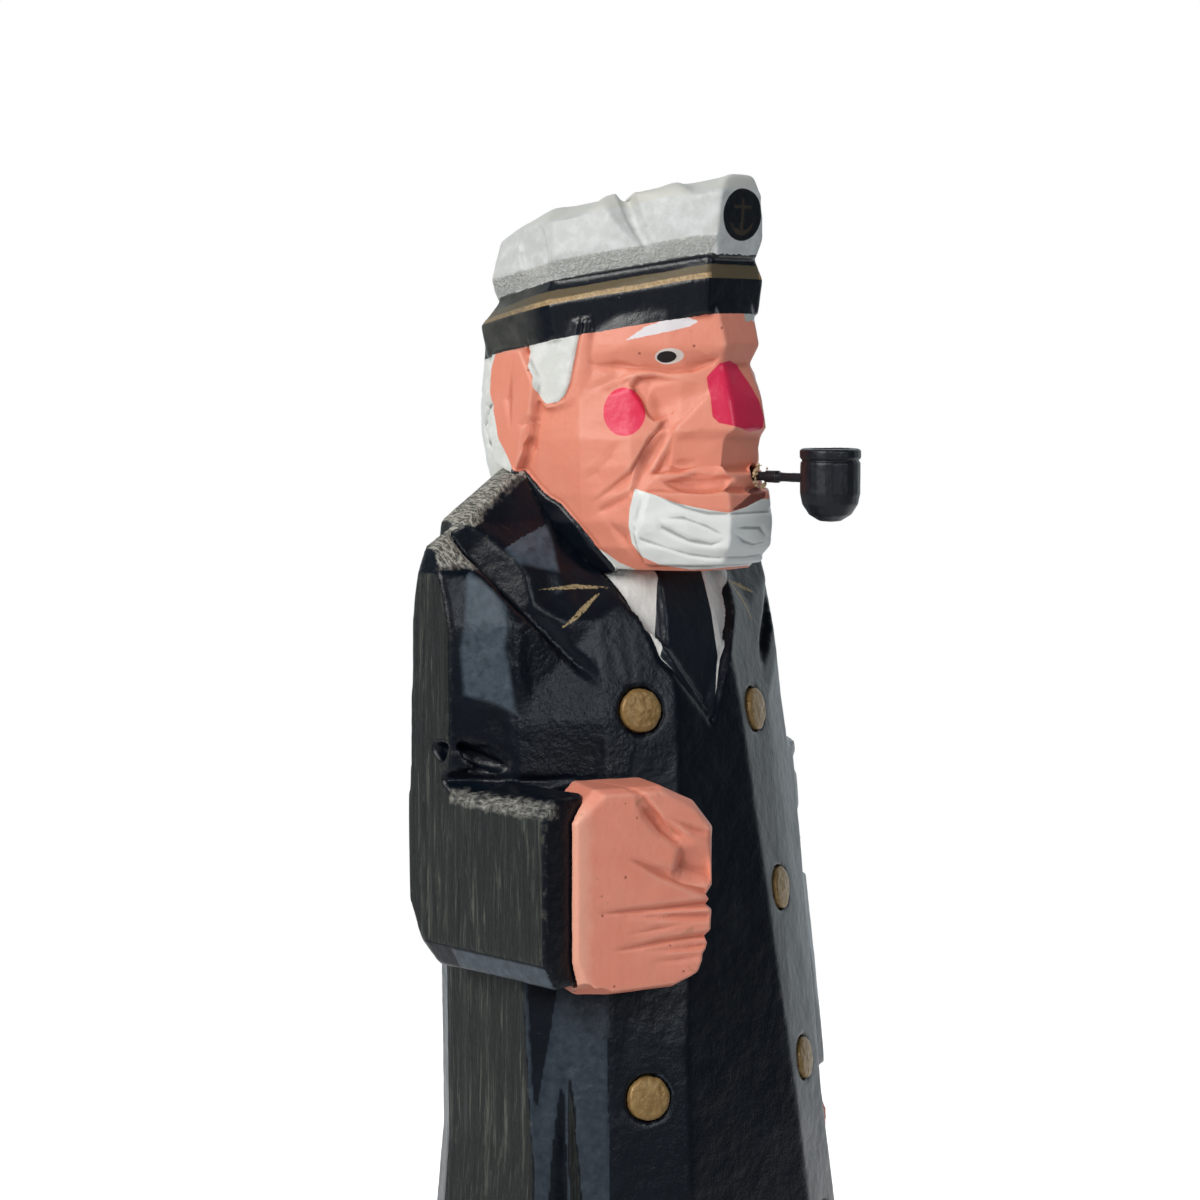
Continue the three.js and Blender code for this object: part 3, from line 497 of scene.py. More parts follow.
def head_material():
    finish = Finish("head_paint", SKIN, 0.46)
    skin_layers(finish)
    clouds = finish.spread(finish.noise(3.0, 4.0, 0.65), 0.35, 0.75)
    white = finish.mix(clouds, (0.74, 0.75, 0.71), WHITE)
    finish.layer(finish.region("hair", 0.06, 0.10, 1.4), white, 0.5)
    # Painted shade: the hair turns grey in its hollows
    cracks = finish.spread(finish.field("relief"), -0.02, -0.14)
    crease_shade = finish.times(cracks, finish.region("hair", 0.3))
    finish.layer(crease_shade, (0.16, 0.15, 0.12), 0.6, 0.8)
    finish.layer(finish.region("brow", 0.10, 0.16, 0.7), (0.88, 0.82, 0.84), 0.5)
    finish.layer(finish.region("eye", 0.05, 0.03), (0.80, 0.72, 0.66), 0.45)
    finish.layer(finish.region("pupil", 0.04, 0.04), (0.003, 0.003, 0.004), 0.5)
    red = finish.mix(finish.spread(finish.noise(4.0, 2.0, 0.5), 0.35, 0.7), RED, (0.89, 0.032, 0.105))
    finish.layer(finish.region("cheek", 0.05, 0.04), red, 0.4)
    finish.layer(finish.region("nose", 0.06, 0.08, 1.6), (0.76, 0.022, 0.085), 0.36)
    finish.layer(finish.region("lips", 0.10, 0.12, 0.8), (0.16, 0.03, 0.02), 0.5, 0.9)
    # Painted sheen: pale grey by the top of the nose, on the captain's left
    finish.layer(finish.region("bridge_sheen", 0.1, 0.1), (0.52, 0.53, 0.50), 0.5)
    # Painted shade: the beard turns grey in its hollows
    beard = finish.mix(cracks, (0.88, 0.90, 0.87), (0.42, 0.43, 0.42))
    finish.layer(finish.region("beard", 0.05, 0.05, 1.5), beard, 0.42)
    finish.layer(finish.region("band", 0.05, 0.12, 0.9), BLACK, 0.33)
    stripe = finish.region("stripe", 0.08, 0.14, 1.6)
    grit = finish.spread(finish.noise(0.5, 2.0, 0.7), 0.35, 0.7)
    sand = finish.mix(grit, (0.34, 0.22, 0.10), (0.56, 0.39, 0.20))
    # Painted shade: darker gold on the stripe's upper part and across the cap's front facet
    shaded_gold = finish.region("stripe_shade", 0.15, 0.2, 1.5)
    finish.layer(stripe, finish.mix(shaded_gold, sand, (0.125, 0.092, 0.045)), 0.5)
    rubbed = finish.noise((1.2, 3.0, 3.0), 4.0, 0.7)
    worn_band = finish.times(finish.region("band_back", 1.5), rubbed)
    finish.layer(worn_band, (0.10, 0.10, 0.085), 0.6)
    stained = finish.spread(finish.noise(2.5, 4.0, 0.65), 0.35, 0.75)
    cap = finish.mix(stained, (0.62, 0.63, 0.61), (0.76, 0.78, 0.78))
    cap = finish.mix(finish.region("rim", 0.2, 0.2), cap, (0.66, 0.66, 0.61))
    finish.layer(finish.region("crown", 0.05, 0.42, 1.1), cap, 0.5)
    stipple = finish.region("stipple", 0.3)
    speckle = finish.spread(finish.noise(0.55, 3.0, 0.7), 0.3, 0.7)
    finish.layer(stipple, finish.mix(speckle, (0.40, 0.41, 0.38), (0.60, 0.60, 0.56)), 0.6, 0.8)
    finish.raise_by(speckle, 0.16, stipple)
    finish.layer(finish.region("badge", 0.05, 0.05), (0.006, 0.008, 0.011), 0.3)
    anchor = finish.times(finish.region("anchor", 0.08, 0.10), finish.noise(1.2, 3.0, 0.7))
    finish.layer(anchor, (0.085, 0.055, 0.03), 0.4)
    finish.layer(finish.region("linen", 0.06, 0.1), (0.80, 0.80, 0.77), 0.55)
    finish.layer(finish.region("flap", 0.06, 0.12, 1.0), BLACK, 0.36)
    return finish.done()


def gold_material():
    finish = Finish("button_paint", (0.28, 0.165, 0.055), 0.42)
    mottle = finish.spread(finish.noise(1.1, 4.0, 0.7), 0.4, 0.7)
    finish.layer(mottle, (0.42, 0.28, 0.11), 0.5, 0.6)
    hollow = finish.spread(finish.field("relief"), -0.005, -0.06)
    finish.layer(hollow, (0.12, 0.07, 0.025), 0.5, 0.7)
    orange_peel(finish, 0.35, 0.05)
    finish.shader.inputs["Metallic"].default_value = 0.25
    return finish.done()


def pipe_material():
    finish = Finish("pipe_paint", (0.005, 0.007, 0.011), 0.40)
    dust = finish.spread(finish.noise(1.2, 4.0, 0.7), 0.4, 0.8)
    finish.layer(dust, (0.016, 0.019, 0.025), 0.55, 0.6)
    orange_peel(finish, 0.3, 0.03)
    return finish.done()


def bare_material():
    finish = Finish("bare_wood", BARE, 0.65)
    grain = finish.noise((0.5, 0.5, 9.0), 4.0, 0.65, 0.4)
    finish.layer(finish.spread(grain, 0.42, 0.7), (0.40, 0.26, 0.13), 0.7, 0.6)
    finish.raise_by(grain, 0.06)
    return finish.done()


def shoe_material():
    finish = Finish("shoe_paint", (0.030, 0.015, 0.010), 0.36)
    finish.layer(finish.spread(finish.noise(4.0, 4.0, 0.6), 0.45, 0.8), (0.055, 0.028, 0.017), 0.45, 0.6)
    sole = finish.region("sole", 0.2, 0.15)
    finish.layer(sole, (0.012, 0.008, 0.006), 0.6)
    orange_peel(finish, 0.8, 0.05)
    return finish.done()


# The head: places round it are an angle from the front, in degrees, and a height above its seat

HEAD_AXIS = 6  # how far forward the line is that the angles go round
HEAD_RADIUS = 20
ARC = math.radians(1) * HEAD_RADIUS  # millimetres to a degree

# The cap's lower edge is tilted and goes through this place; the rest is measured up from that edge
CAP_TILT = math.radians(11)
CAP_FRONT = 31.4
CAP_FOOT = 42
STRIPE_LOW = 5.5
STRIPE_HIGH = 7.8
CROWN_FOOT = 9.7
CROWN_FRONT_DROP = 0.6
STIPPLE_TOP = 12.6
CAP_RIM = 19.5
CAP_FACET_HALF = 5.7
BADGE_MIDDLE = np.array([0.2, 15.4])
BADGE_HALF = (4.6, 4.1)
BAND_WORN_FROM = 92  # degrees
BAND_WORN_FADE = 6
OUTSIDE = -9.0  # the value of a mark well outside its area


def flattened(outline):
    """Places given by angle and height, as places in millimetres on the skin rolled out."""
    return [(degrees * ARC, up) for degrees, up in outline]


HAIR = [(104, 48), (109, 37), (112.5, 33), (113.5, 29), (111, 25), (109, 21.4), (104, 18.6), (101, 16.5),
        (99, 10), (99, -4), (190, -4), (190, 48)]
SIDEBURN = [(94.5, 50), (94, 36.6), (92.5, 33.4), (89.5, 31.6), (88.5, 29.4), (86, 27.9), (83.5, 27.2),
            (78, 27.5), (74.5, 28.7), (72.3, 30.6), (69.5, 35), (66.5, 40), (66.5, 50)]
BEARD = [(-41.5, 13.6), (-34, 12.6), (-26, 11.3), (-18, 10.4), (-10, 9.7), (-2, 10.5), (6, 11.7), (14, 11.4),
         (22, 11.2), (32, 12.4), (41.5, 13.6), (43.5, 10.5), (44, 7.6), (42.5, 4.6), (38, 2.4), (30, 1.0),
         (18, 0.3), (0, 0.5), (-18, 0.3), (-30, 1.0), (-38, 2.4), (-42.5, 4.6), (-44, 7.6), (-43.5, 10.5)]
NOSE = [(-13.2, 31.6), (-8.4, 33.9), (-4, 34.3), (0.5, 33.6), (4.5, 30), (6.5, 27), (7.4, 24.8), (5.5, 23.0),
        (0.5, 22.6), (-4, 23.3), (-11.5, 24.2), (-13.2, 25.2)]
BROW = [((45, 37.6), (36, 39.0), (28, 39.9), (20, 40.5), (17, 40.6)), (0.1, 1.5, 1.9, 1.5, 0.5)]
EYE = ((26.7, 35.0), (1.95, 1.3))
PUPIL = ((27.6, 34.9), (1.35, 0.95))
CHEEK = ((46.0, 26.0), (3.25, 3.9))
LIPS = [((-8, 10.2), (-2, 11.1), (5, 12.4), (8, 13.4)), (0.3, 1.2, 1.9, 0.6)]

# The left eye and brow reach further towards the nose.
LEFT_EYE = ((22, 34.9), (2.6, 1.6))
LEFT_PUPIL = ((24, 34.9), (1.4, 1.05))
LEFT_BROW = [((44, 38.4), (32, 40.0), (18, 40.9), (9, 41.4)), (0.3, 1.6, 2.0, 1.6)]

# Cuts on the head, as their way, the width of their walls to the left and right of it, and their depths
FACE_CUTS = [
    ([(65, 33.9), (50, 33.4), (35, 32.9), (27, 32.5), (18, 32.8), (11, 33.9), (9, 35)], (0.6, 3.4),
     (0, 0.5, 0.8, 0.9, 0.8, 0.5, 0)),
    ([(64, 29.3), (49, 31.5), (44, 32.3)], (1.1, 1.4), (0, 0.5, 0)),
    ([(25, 26.2), (29.5, 23.9), (34, 21.8), (39, 18.3), (43, 16.2), (51, 13.8), (61, 11.0)], (0.7, 2.2),
     (0, 0.8, 1.2, 1.1, 0.9, 0.6, 0)),
    ([(48, 21.6), (52, 18.6), (58, 16.2), (64, 15.0)], (1.4, 2.0), (0, 0.25, 0.3, 0)),
    ([(54, 8.4), (46, 5.6), (41, 2.2)], (1.2, 1.6), (0, 0.5, 0)),
    ([(33, 15.2), (24, 13.6), (17, 13.4), (9, 13.6), (2, 13.0)], (0.7, 1.3), (0, 0.6, 0.7, 0.7, 0.6)),
    ([(30, 17.6), (24, 16.4), (18, 15.6), (10, 15.8)], (0.6, 1.0), (0, 0.4, 0.5, 0)),
    ([(95.4, 23.7), (92, 24), (94, 20.3), (97.4, 18.7)], (1.0, 1.4), (0.3, 0.7, 0.7, 0)),
    ([(101, 33.5), (103, 28), (101.5, 22)], (1.1, 1.8), (0, 0.6, 0)),
    ([(111, 27.5), (116, 26), (127.7, 23.2), (122.7, 20.4), (111, 18)], (0.9, 1.2), (0, 0.9, 0.9, 0.7, 0)),
    ([(140, 30), (150, 22), (146, 16)], (1.2, 1.6), (0, 0.6, 0)),
    ([(170, 33), (164, 26), (168, 19)], (1.2, 1.6), (0, 0.6, 0)),
    ([(155, 36), (149, 29), (134, 25)], (1.2, 1.6), (0, 0.5, 0)),
    ([(85, 27.6), (80, 27.2), (75, 28.2), (72, 30.2), (69, 35), (66, 40)], (0.5, 1.3),
     (0, 0.4, 0.5, 0.6, 0.6, 0.6)),
    ([(36, 12.9), (26, 11.1), (22, 10.3), (16, 9.6), (9, 9.5), (0, 9.5)], (0.5, 0.9),
     (0.1, 0.35, 0.4, 0.4, 0.35, 0.3)),
    ([(33, 8.9), (24, 8.9), (17, 7.6), (10, 5.6)], (0.7, 0.9), (0, 0.4, 0.4, 0)),
    ([(33, 8.9), (31, 7.3), (22, 5.2), (15, 4.6), (10, 5.6)], (0.9, 0.7), (0.1, 0.4, 0.45, 0.4, 0)),
    ([(43, 7.6), (39, 5.2), (21, 2.7), (14, 2.2), (0, 1.9)], (0.4, 2.0), (0, 0.3, 0.4, 0.4, 0.4)),
]
BEARD_FRONT_CUTS = [
    ([(-10.5, 7.1), (-3, 7.1), (4, 6.9), (7, 5.7)], (0.8, 0.6), (0, 0.35, 0.35, 0.2)),
    ([(-10.5, 7.1), (-3, 4.9), (2, 4.2), (7, 4.6)], (0.6, 0.8), (0, 0.35, 0.4, 0.2)),
]

# The hollow under each eye is deepest at its outer end.
UNDER_EYE = [(44, 30.5), (42.5, 29.2), (40, 28), (38, 26.5), (36.5, 25.3), (33, 24.4), (29, 24.7), (24, 25.8),
             (20, 28), (21, 31.4), (32, 32.2), (40, 31.9)]
UNDER_EYE_DEPTH = 1.25
UNDER_EYE_FROM = 22  # degrees
UNDER_EYE_FADE = 13

# Between the nose and the lip the muzzle slants in.
MUZZLE = [(-40, 13.6), (-33, 17.2), (-29, 20.1), (-27, 22.7), (-25, 23.1), (-21, 23.1), (-17, 23.7),
          (-13, 23.9), (13, 23.9), (17, 23.7), (21, 23.1), (25, 23.1), (27, 22.7), (29, 20.1), (33, 17.2),
          (40, 13.6)]
MUZZLE_DEPTH = 1.25
MUZZLE_TOP = 23.4
MUZZLE_SLANT = 6
LIP_UP = 16.2

# Drops of thick paint: their middle, half width and height, and how far they stand out
PAINT_DROPS = [
    ((30, 15.9), (1.5, 0.55), 0.4),
    ((20, 14.9), (1.3, 0.55), 0.4),
    ((10, 15.4), (0.7, 0.7), 0.35),
    ((11, 13.2), (0.8, 0.45), 0.3),
    ((3, 12.4), (0.9, 0.5), 0.35),
    ((52, 21.5), (1.0, 0.6), 0.2),
]
SIDEBURN_RAISED = 0.3

# A leaf-shaped gouge in each side of the cap
CAP_LEAF = [(48, 62.0), (42, 57.2), (34, 51.4)]
CAP_LEAF_WALLS = (1.3, 2.4)
CAP_LEAF_DEPTHS = (1.9, 1.3, 0)

# The coat's collar laps over the jaw, and the shirt shows below the jaw in front of it.
COLLAR_FLAP = [(101, 16.6), (92, 14), (85, 12), (78, 10.9), (67, 7.2), (57, 2.7), (51, 0.4), (48, -4),
               (101, -4)]
FLAP_RAISED = 0.75
SHIRT_TOP = [(59, 3.6), (48, 1.2), (38, -0.2), (36, -4), (62, -4)]

# Painted sheen: a pale grey patch by the top of the nose, on the captain's left
BRIDGE_SHEEN = [(-4, 40.6), (-12, 41.2), (-12, 43.8), (-4, 43.4)]


def head_planes(block):
    """The head's skin rolled out: from the middle outwards, and from the right side to the left."""
    left, forward, up = block.points.T
    angle = np.degrees(np.arctan2(left, forward - HEAD_AXIS))
    return (np.column_stack([np.abs(angle) * ARC, up - SEAT]),
            np.column_stack([angle * ARC, up - SEAT]))


def above_cap_foot(block):
    """How high each point lies above the tilted cap's lower edge."""
    _, forward, up = block.points.T
    return (up - SEAT - CAP_FOOT) * math.cos(CAP_TILT) - (forward - CAP_FRONT) * math.sin(CAP_TILT)


def carve_head(block):
    half, whole = head_planes(block)
    depth = np.zeros(block.count)
    for places, walls, depths in FACE_CUTS:
        depth = np.maximum(depth, notch(half, flattened(places), walls, depths))
    for places, walls, depths in BEARD_FRONT_CUTS:
        depth = np.maximum(depth, notch(whole, flattened(places), walls, depths))
    scoop = smoothstep(inside(half, flattened(UNDER_EYE)), 0, 0.6)
    depth += UNDER_EYE_DEPTH * scoop * np.clip((half[:, 0] / ARC - UNDER_EYE_FROM) / UNDER_EYE_FADE, 0, 1)
    under_nose = smoothstep(inside(whole, flattened(MUZZLE)), 0, 0.5)
    low_share = np.clip((MUZZLE_TOP - half[:, 1]) / MUZZLE_SLANT, 0, 1)
    low_share *= smoothstep(half[:, 1], LIP_UP - 0.5, LIP_UP + 0.3)
    depth += MUZZLE_DEPTH * under_nose * low_share
    for middle, size, height in PAINT_DROPS:
        depth -= height * np.sqrt(np.clip(oval(half, flattened([middle])[0], size) / min(size), 0, 1))
    depth -= SIDEBURN_RAISED * smoothstep(inside(half, flattened(SIDEBURN)), -0.1, 0.25)
    depth = np.maximum(depth, notch(half, flattened(CAP_LEAF), CAP_LEAF_WALLS, CAP_LEAF_DEPTHS))
    depth -= FLAP_RAISED * smoothstep(inside(half, flattened(COLLAR_FLAP)), -0.1, 0.2)
    block.carve(depth)


def head_fields(block):
    """Marks where each paint goes on the head."""
    left, forward, _ = block.points.T
    half, whole = head_planes(block)
    mirror = whole * [-1, 1]
    near = whole[:, 0] < 0
    cap_up = above_cap_foot(block)
    block.mark("hair", np.maximum(inside(half, flattened(HAIR)), inside(half, flattened(SIDEBURN))))
    block.mark("beard", inside(whole, flattened(BEARD)))
    block.mark("nose", inside(whole, flattened(NOSE)))
    brows = [stroke(half, flattened(ways), widths) for ways, widths in (BROW, LEFT_BROW)]
    block.mark("brow", np.where(near, *brows))
    for name, sides in (("eye", (EYE, LEFT_EYE)), ("pupil", (PUPIL, LEFT_PUPIL)), ("cheek", (CHEEK, CHEEK))):
        spots = [oval(half, flattened([middle])[0], size) for middle, size in sides]
        block.mark(name, np.where(near, *spots))
    block.mark("lips", stroke(whole, flattened(LIPS[0]), LIPS[1]))
    # Where the painted sheen lies by the top of the nose
    block.mark("bridge_sheen", inside(mirror, flattened(BRIDGE_SHEEN)))
    block.mark("band", cap_up + 0.1)
    stripe_low = STRIPE_LOW + 0.2 * noise(block.points, 9)
    stripe_high = STRIPE_HIGH + 0.25 * noise(block.points, 7, 0.4)
    block.mark("stripe", np.minimum(cap_up - stripe_low, stripe_high - cap_up))
    # Where the painted shade darkens the stripe: its upper part and the cap's front facet
    in_front = np.where(forward > 26, CAP_FACET_HALF - np.abs(left), OUTSIDE)
    block.mark("stripe_shade", np.maximum(cap_up - stripe_low * 0.6 - stripe_high * 0.4, in_front))
    lowered = CROWN_FRONT_DROP * smoothstep(forward, 29, 33)
    block.mark("crown", cap_up + lowered - CROWN_FOOT)
    low_bevel = np.minimum(cap_up + lowered - CROWN_FOOT, STIPPLE_TOP - cap_up - lowered)
    block.mark("stipple", np.minimum(low_bevel, np.where(forward > 20, np.abs(left) - 5.4, 9.0)))
    badge = np.column_stack([left, cap_up])
    block.mark("badge", np.where(forward > 25, oval(badge, BADGE_MIDDLE, BADGE_HALF), OUTSIDE))
    block.mark("rim", cap_up - CAP_RIM)
    behind = (half[:, 0] / ARC - BAND_WORN_FROM) / BAND_WORN_FADE
    block.mark("band_back", np.minimum(behind, cap_up * 2))
    block.mark("flap", inside(half, flattened(COLLAR_FLAP)))
    block.mark("linen", inside(half, flattened(SHIRT_TOP)))
    block.mark("anchor", anchor_field(badge - BADGE_MIDDLE))


def anchor_field(plane):
    """A plain anchor: shank, stock and arms."""
    arms = [(2.9 * math.sin(a), -0.2 - 2.7 * math.cos(a)) for a in np.linspace(-1.1, 1.1, 7)]
    parts = [stroke(plane, [(0, 2.3), (0, -2.9)], (0.55, 0.7)),
             stroke(plane, [(-1.9, 1.2), (1.9, 1.2)], (0.45, 0.45)),
             stroke(plane, arms, [0.4, 0.6, 0.75, 0.8, 0.75, 0.6, 0.4])]
    return np.maximum.reduce(parts)


def make_head():
    block = Block("carved_head", ["head_block"], voxel=0.27, soften=5)
    on_crown = smoothstep(above_cap_foot(block), 13.5, 14.5)
    block.whittle(seed=3, number=12, length=9, width=6, depth=0.18, share=on_crown)
    block.smooth(2)
    block.smooth(60, share=smoothstep(above_cap_foot(block), CAP_RIM - 1.0, CAP_RIM + 0.6))
    nose = inside(head_planes(block)[1], flattened(NOSE))
    block.smooth(16, share=smoothstep(nose, -0.4, 0.8))
    carve_head(block)
    block.smooth(1)
    block.mark("relief", block.relief(14))
    head_fields(block)
    block.push(0.02 * noise(block.points, 0.9) + 0.05 * noise(block.points, 3.2))
    block.finish(head_material())


# The coat

NECKLINE = [(-16, 12), (-15, 4), (-13.2, 0), (-12.2, -2.4), (-10.6, -7.8), (-8.9, -14.6), (0.4, -25.0),
            (5.4, -15.8), (9.9, -9.8), (13.6, -4.1), (15.6, -2.2), (16.6, 12)]
TIE = [(-5.4, 4), (-5.6, -1.6), (-8.9, -14.4), (0.4, -26), (4.9, -15.5), (4.7, -2), (4.7, 4)]
MARKS = [
    [((-26.6, -2.9), (-20, -2.6), (-14.6, -3.0)), (0.15, 0.75, 0.2)],
    [((-16.4, -3.8), (-20.5, -6.4), (-24.5, -8.9)), (0.2, 0.8, 0.3)],
    [((14.9, -3.5), (18, -4.6), (21.8, -6.2)), (0.3, 0.8, 0.3)],
    [((14.9, -3.5), (16.6, -6.6), (18.4, -10.4)), (0.3, 0.85, 0.3)],
]
COAT_FRONT = 8  # how far forward the front's paint begins

# The coat's blocks are dressed as one skin, because the paint bridges the seams between them.
ARM_SEAM = 34.15
SEAM_HALF = 0.7
SEAM_DEPTH = 0.5
SEAM_FILL = 0.5
ARM_HIGH = 2
PLUG = 1.3  # how much a dowel is swollen to fill its hole

# Cuts at the right elbow, with places out from the middle and up from the head's seat
ELBOW_CUTS = [
    ([(39.6, -27.3), (37.0, -28.3), (33.0, -30.8)], (0.7, 1.3), (0, 0.6, 0)),
    ([(39.6, -29.8), (37.4, -30.4), (34.6, -31.8)], (0.6, 0.9), (0, 0.5, 0)),
    ([(41.6, -33.2), (36, -33.2), (29, -33.6), (24, -33.0)], (0.8, 0.9), (0, 0.8, 0.7, 0)),
]

# The neckline's cut edges and two ridges on the chest, with places to the captain's left and up
FRONT_CUTS = [
    ([(-13.2, 0.6), (-10.6, -7.8), (-8.9, -14.6), (0.4, -25.6)], (0.7, 0.9), (0.3, 0.5, 0.5, 0.4)),
    ([(0.4, -25.6), (5.4, -15.8), (9.9, -9.8), (13.6, -4.1)], (0.9, 0.7), (0.4, 0.5, 0.5, 0.3)),
    ([(-22.6, 3.5), (-22.2, -2), (-21.8, -9)], (2.4, 2.4), (0, -0.35, 0)),
    ([(-31.6, -6), (-32.4, -15), (-30.6, -24)], (2.2, 2.2), (0, -0.4, 0)),
]

# Painted sheen: pale blue-grey facets of the coat's front, with places out from the middle
SHEEN_FACETS = [
    [(38.4, 1.6), (32.9, -4.8), (34, -12.1), (33.3, -17), (32.4, -23.2), (35.8, -21.1), (40.6, -19.3),
     (41.1, -11.8)],
    [(32, 6.8), (27.8, 10.5), (20.7, 14.5), (20.9, 10.6), (20.5, 7.4), (22.1, -0.5), (29.0, 1.2)],
]
SHEEN_INSET = 0.3
SHEEN_ON_BEVEL = 0.3  # the most painted sheen on the forearm's lower bevel, where it stands for the floor's reflection
SHEEN_ON_SKIRT = -0.05  # the most painted sheen on the skirt's slanting facets

# The wrinkled part of the right breast
LEATHER = [(33, -5), (33, -33), (17, -33), (13, -20), (22, -16)]
LEATHER_LOW = -34

# Where the coat is worn: the collar's top behind this place, and the forearm's upper edge
COLLAR_WORN_TO = 3.9
LEDGE_UP = 204.4
LEDGE_HALF = 1.3
LEDGE_OUT = 39.5


def carve_coat(block):
    left, forward, up = block.points.T
    half = np.column_stack([np.abs(left), up - SEAT])
    whole = np.column_stack([left, up - SEAT])
    outward = block.normals()
    in_front = smoothstep(outward[:, 1], 0.1, 0.4) * smoothstep(forward, 3, 6)
    right_side = smoothstep(-left, 4, 8)
    depth = np.zeros(block.count)
    for places, walls, depths in ELBOW_CUTS:
        depth = np.maximum(depth, right_side * notch(half, places, walls, depths))
    for places, walls, depths in FRONT_CUTS:
        depth += notch(whole, places, walls, depths)
    depth *= in_front
    behind = smoothstep(3 - forward, 0, 2) * smoothstep(ARM_HIGH - (up - SEAT), 0, 3)
    seam = np.clip(1 - np.abs(np.abs(left) - ARM_SEAM) / SEAM_HALF, 0, 1)
    depth += SEAM_DEPTH * seam * behind * smoothstep(up, 140, 150)
    block.carve(depth)


def coat_fields(block):
    """Marks where each paint goes on the coat."""
    left, forward, up = block.points.T
    height = up - SEAT
    half = np.column_stack([np.abs(left), height])
    whole = np.column_stack([left, height])
    in_front = forward > COAT_FRONT
    neckline = inside(whole, NECKLINE)
    tie = inside(whole, TIE)
    block.mark("shirt", np.where(in_front, neckline, OUTSIDE))
    block.mark("tie", np.where(in_front, np.minimum(tie, neckline + 0.2), OUTSIDE))
    marks = np.maximum.reduce([stroke(whole, places, widths) for places, widths in MARKS])
    block.mark("marks", np.where(in_front, marks, OUTSIDE))
    outward = block.normals()
    block.mark("grain", smoothstep(np.abs(outward[:, 0]), 0.93, 0.98) * 2 - 1)
    # Where the painted sheen goes: the chest's facets, the forearm's lower bevel and the skirt's slanting
    # facets
    painted_sheen = np.maximum.reduce([inside(half, outline) for outline in SHEEN_FACETS]) - SHEEN_INSET
    slanting = smoothstep(np.abs(outward[:, 0]), 0.5, 0.62) * smoothstep(outward[:, 1], 0.3, 0.45)
    skirt = slanting * smoothstep(-height, 60, 64) * 2 - 1
    under_forearm = (left < -36) & (forward < 30) & (up > 160) & (up < 184)
    bevel = smoothstep(-outward[:, 2], 0.3, 0.45) * under_forearm * 2 - 1
    painted_sheen = np.maximum(painted_sheen, np.minimum(bevel, SHEEN_ON_BEVEL))
    painted_sheen = np.maximum(painted_sheen, np.minimum(skirt, SHEEN_ON_SKIRT))
    block.mark("painted_sheen", np.where(in_front, painted_sheen, OUTSIDE))
    on_breast = (left < 0) & (height > LEATHER_LOW)
    block.mark("leather", np.where(on_breast, inside(half, LEATHER), OUTSIDE))
    collar = smoothstep(outward[:, 2], 0.35, 0.65) * smoothstep(height, 2, 6)
    collar *= smoothstep(COLLAR_WORN_TO - forward, -0.5, 0.5)
    shoulder = smoothstep(outward[:, 2], 0.4, 0.7) * smoothstep(height, -1, 3)
    shoulder *= smoothstep(np.abs(left), 33.5, 35)
    ledge = np.minimum(forward - COAT_FRONT, -left - LEDGE_OUT)
    ledge = np.minimum(LEDGE_HALF - np.abs(up - LEDGE_UP), ledge)
    ledge = np.clip(ledge, -1, 0.5) * 0.5 - 0.25
    block.mark("worn", np.maximum(np.maximum(collar, shoulder) * 2 - 1, ledge))


def make_coat():
    shift = (SEAM_FILL, 0, 0)
    fillers = [("right_arm", shift, 1), ("left_arm", [-s for s in shift], 1),
               ("right_shoulder_dowel", (0, 0, 0), PLUG), ("left_shoulder_dowel", (0, 0, 0), PLUG)]
    nodes = ["body_block", "right_arm", "left_arm"]
    block = Block("carved_coat", nodes, voxel=0.5, soften=4, fillers=fillers)
    left, _, up = block.points.T
    height = up - SEAT
    skirt = smoothstep(-height, 40, 50) * (np.abs(np.abs(left) - 33) > 4) * 0.5
    back = smoothstep(-block.normals()[:, 1], 0.3, 0.6) * smoothstep(-height, 0, 10) * 0.6
    block.whittle(seed=5, number=70, length=20, width=9, depth=0.22, share=skirt + back + 1e-6)
    block.smooth(1)
    carve_coat(block)
    block.smooth(1)
    block.mark("relief", block.relief(12))
    coat_fields(block)
    block.push(0.03 * noise(block.points, 1.3) + 0.07 * noise(block.points, 5))
    block.finish(COAT)


# Cuts on the fist, with places out from the middle and up from the head's seat
FIST_CUTS = [
    ([(26.9, -33.2), (25.0, -36.4), (22.8, -39.4), (19.2, -43.6)], (2.4, 0.6), (0.3, 0.9, 0.8, 0)),
    ([(28.9, -43.9), (26.9, -44.9), (23, -47.2), (16.5, -50.3), (14, -51.4)], (0.8, 1.7),
     (0, 0.4, 0.9, 1.1, 1.1)),
    ([(34.4, -52.3), (26.4, -52.6), (16.8, -52.4), (14, -52.4)], (0.7, 1.3), (0, 0.8, 1.1, 1.1)),
    ([(31.8, -58.6), (23.9, -57.9), (16.7, -57.6), (14, -57.5)], (0.9, 1.3), (0, 0.8, 1.1, 1.1)),
    ([(30, -56.2), (24, -55.4), (18, -54.8)], (0.7, 0.7), (0, 0.3, 0)),
    ([(26, -60.8), (21, -60.6), (16, -60.2)], (0.9, 0.9), (0, 0.3, 0.3)),
]
THUMB_END = (17.5, -44.5)  # where the thumb's crease runs out in a soft hollow
THUMB_END_HALF = (6.5, 4.5)
WRIST_EDGE = 34.8  # how far out the fist's front turns to the cuff


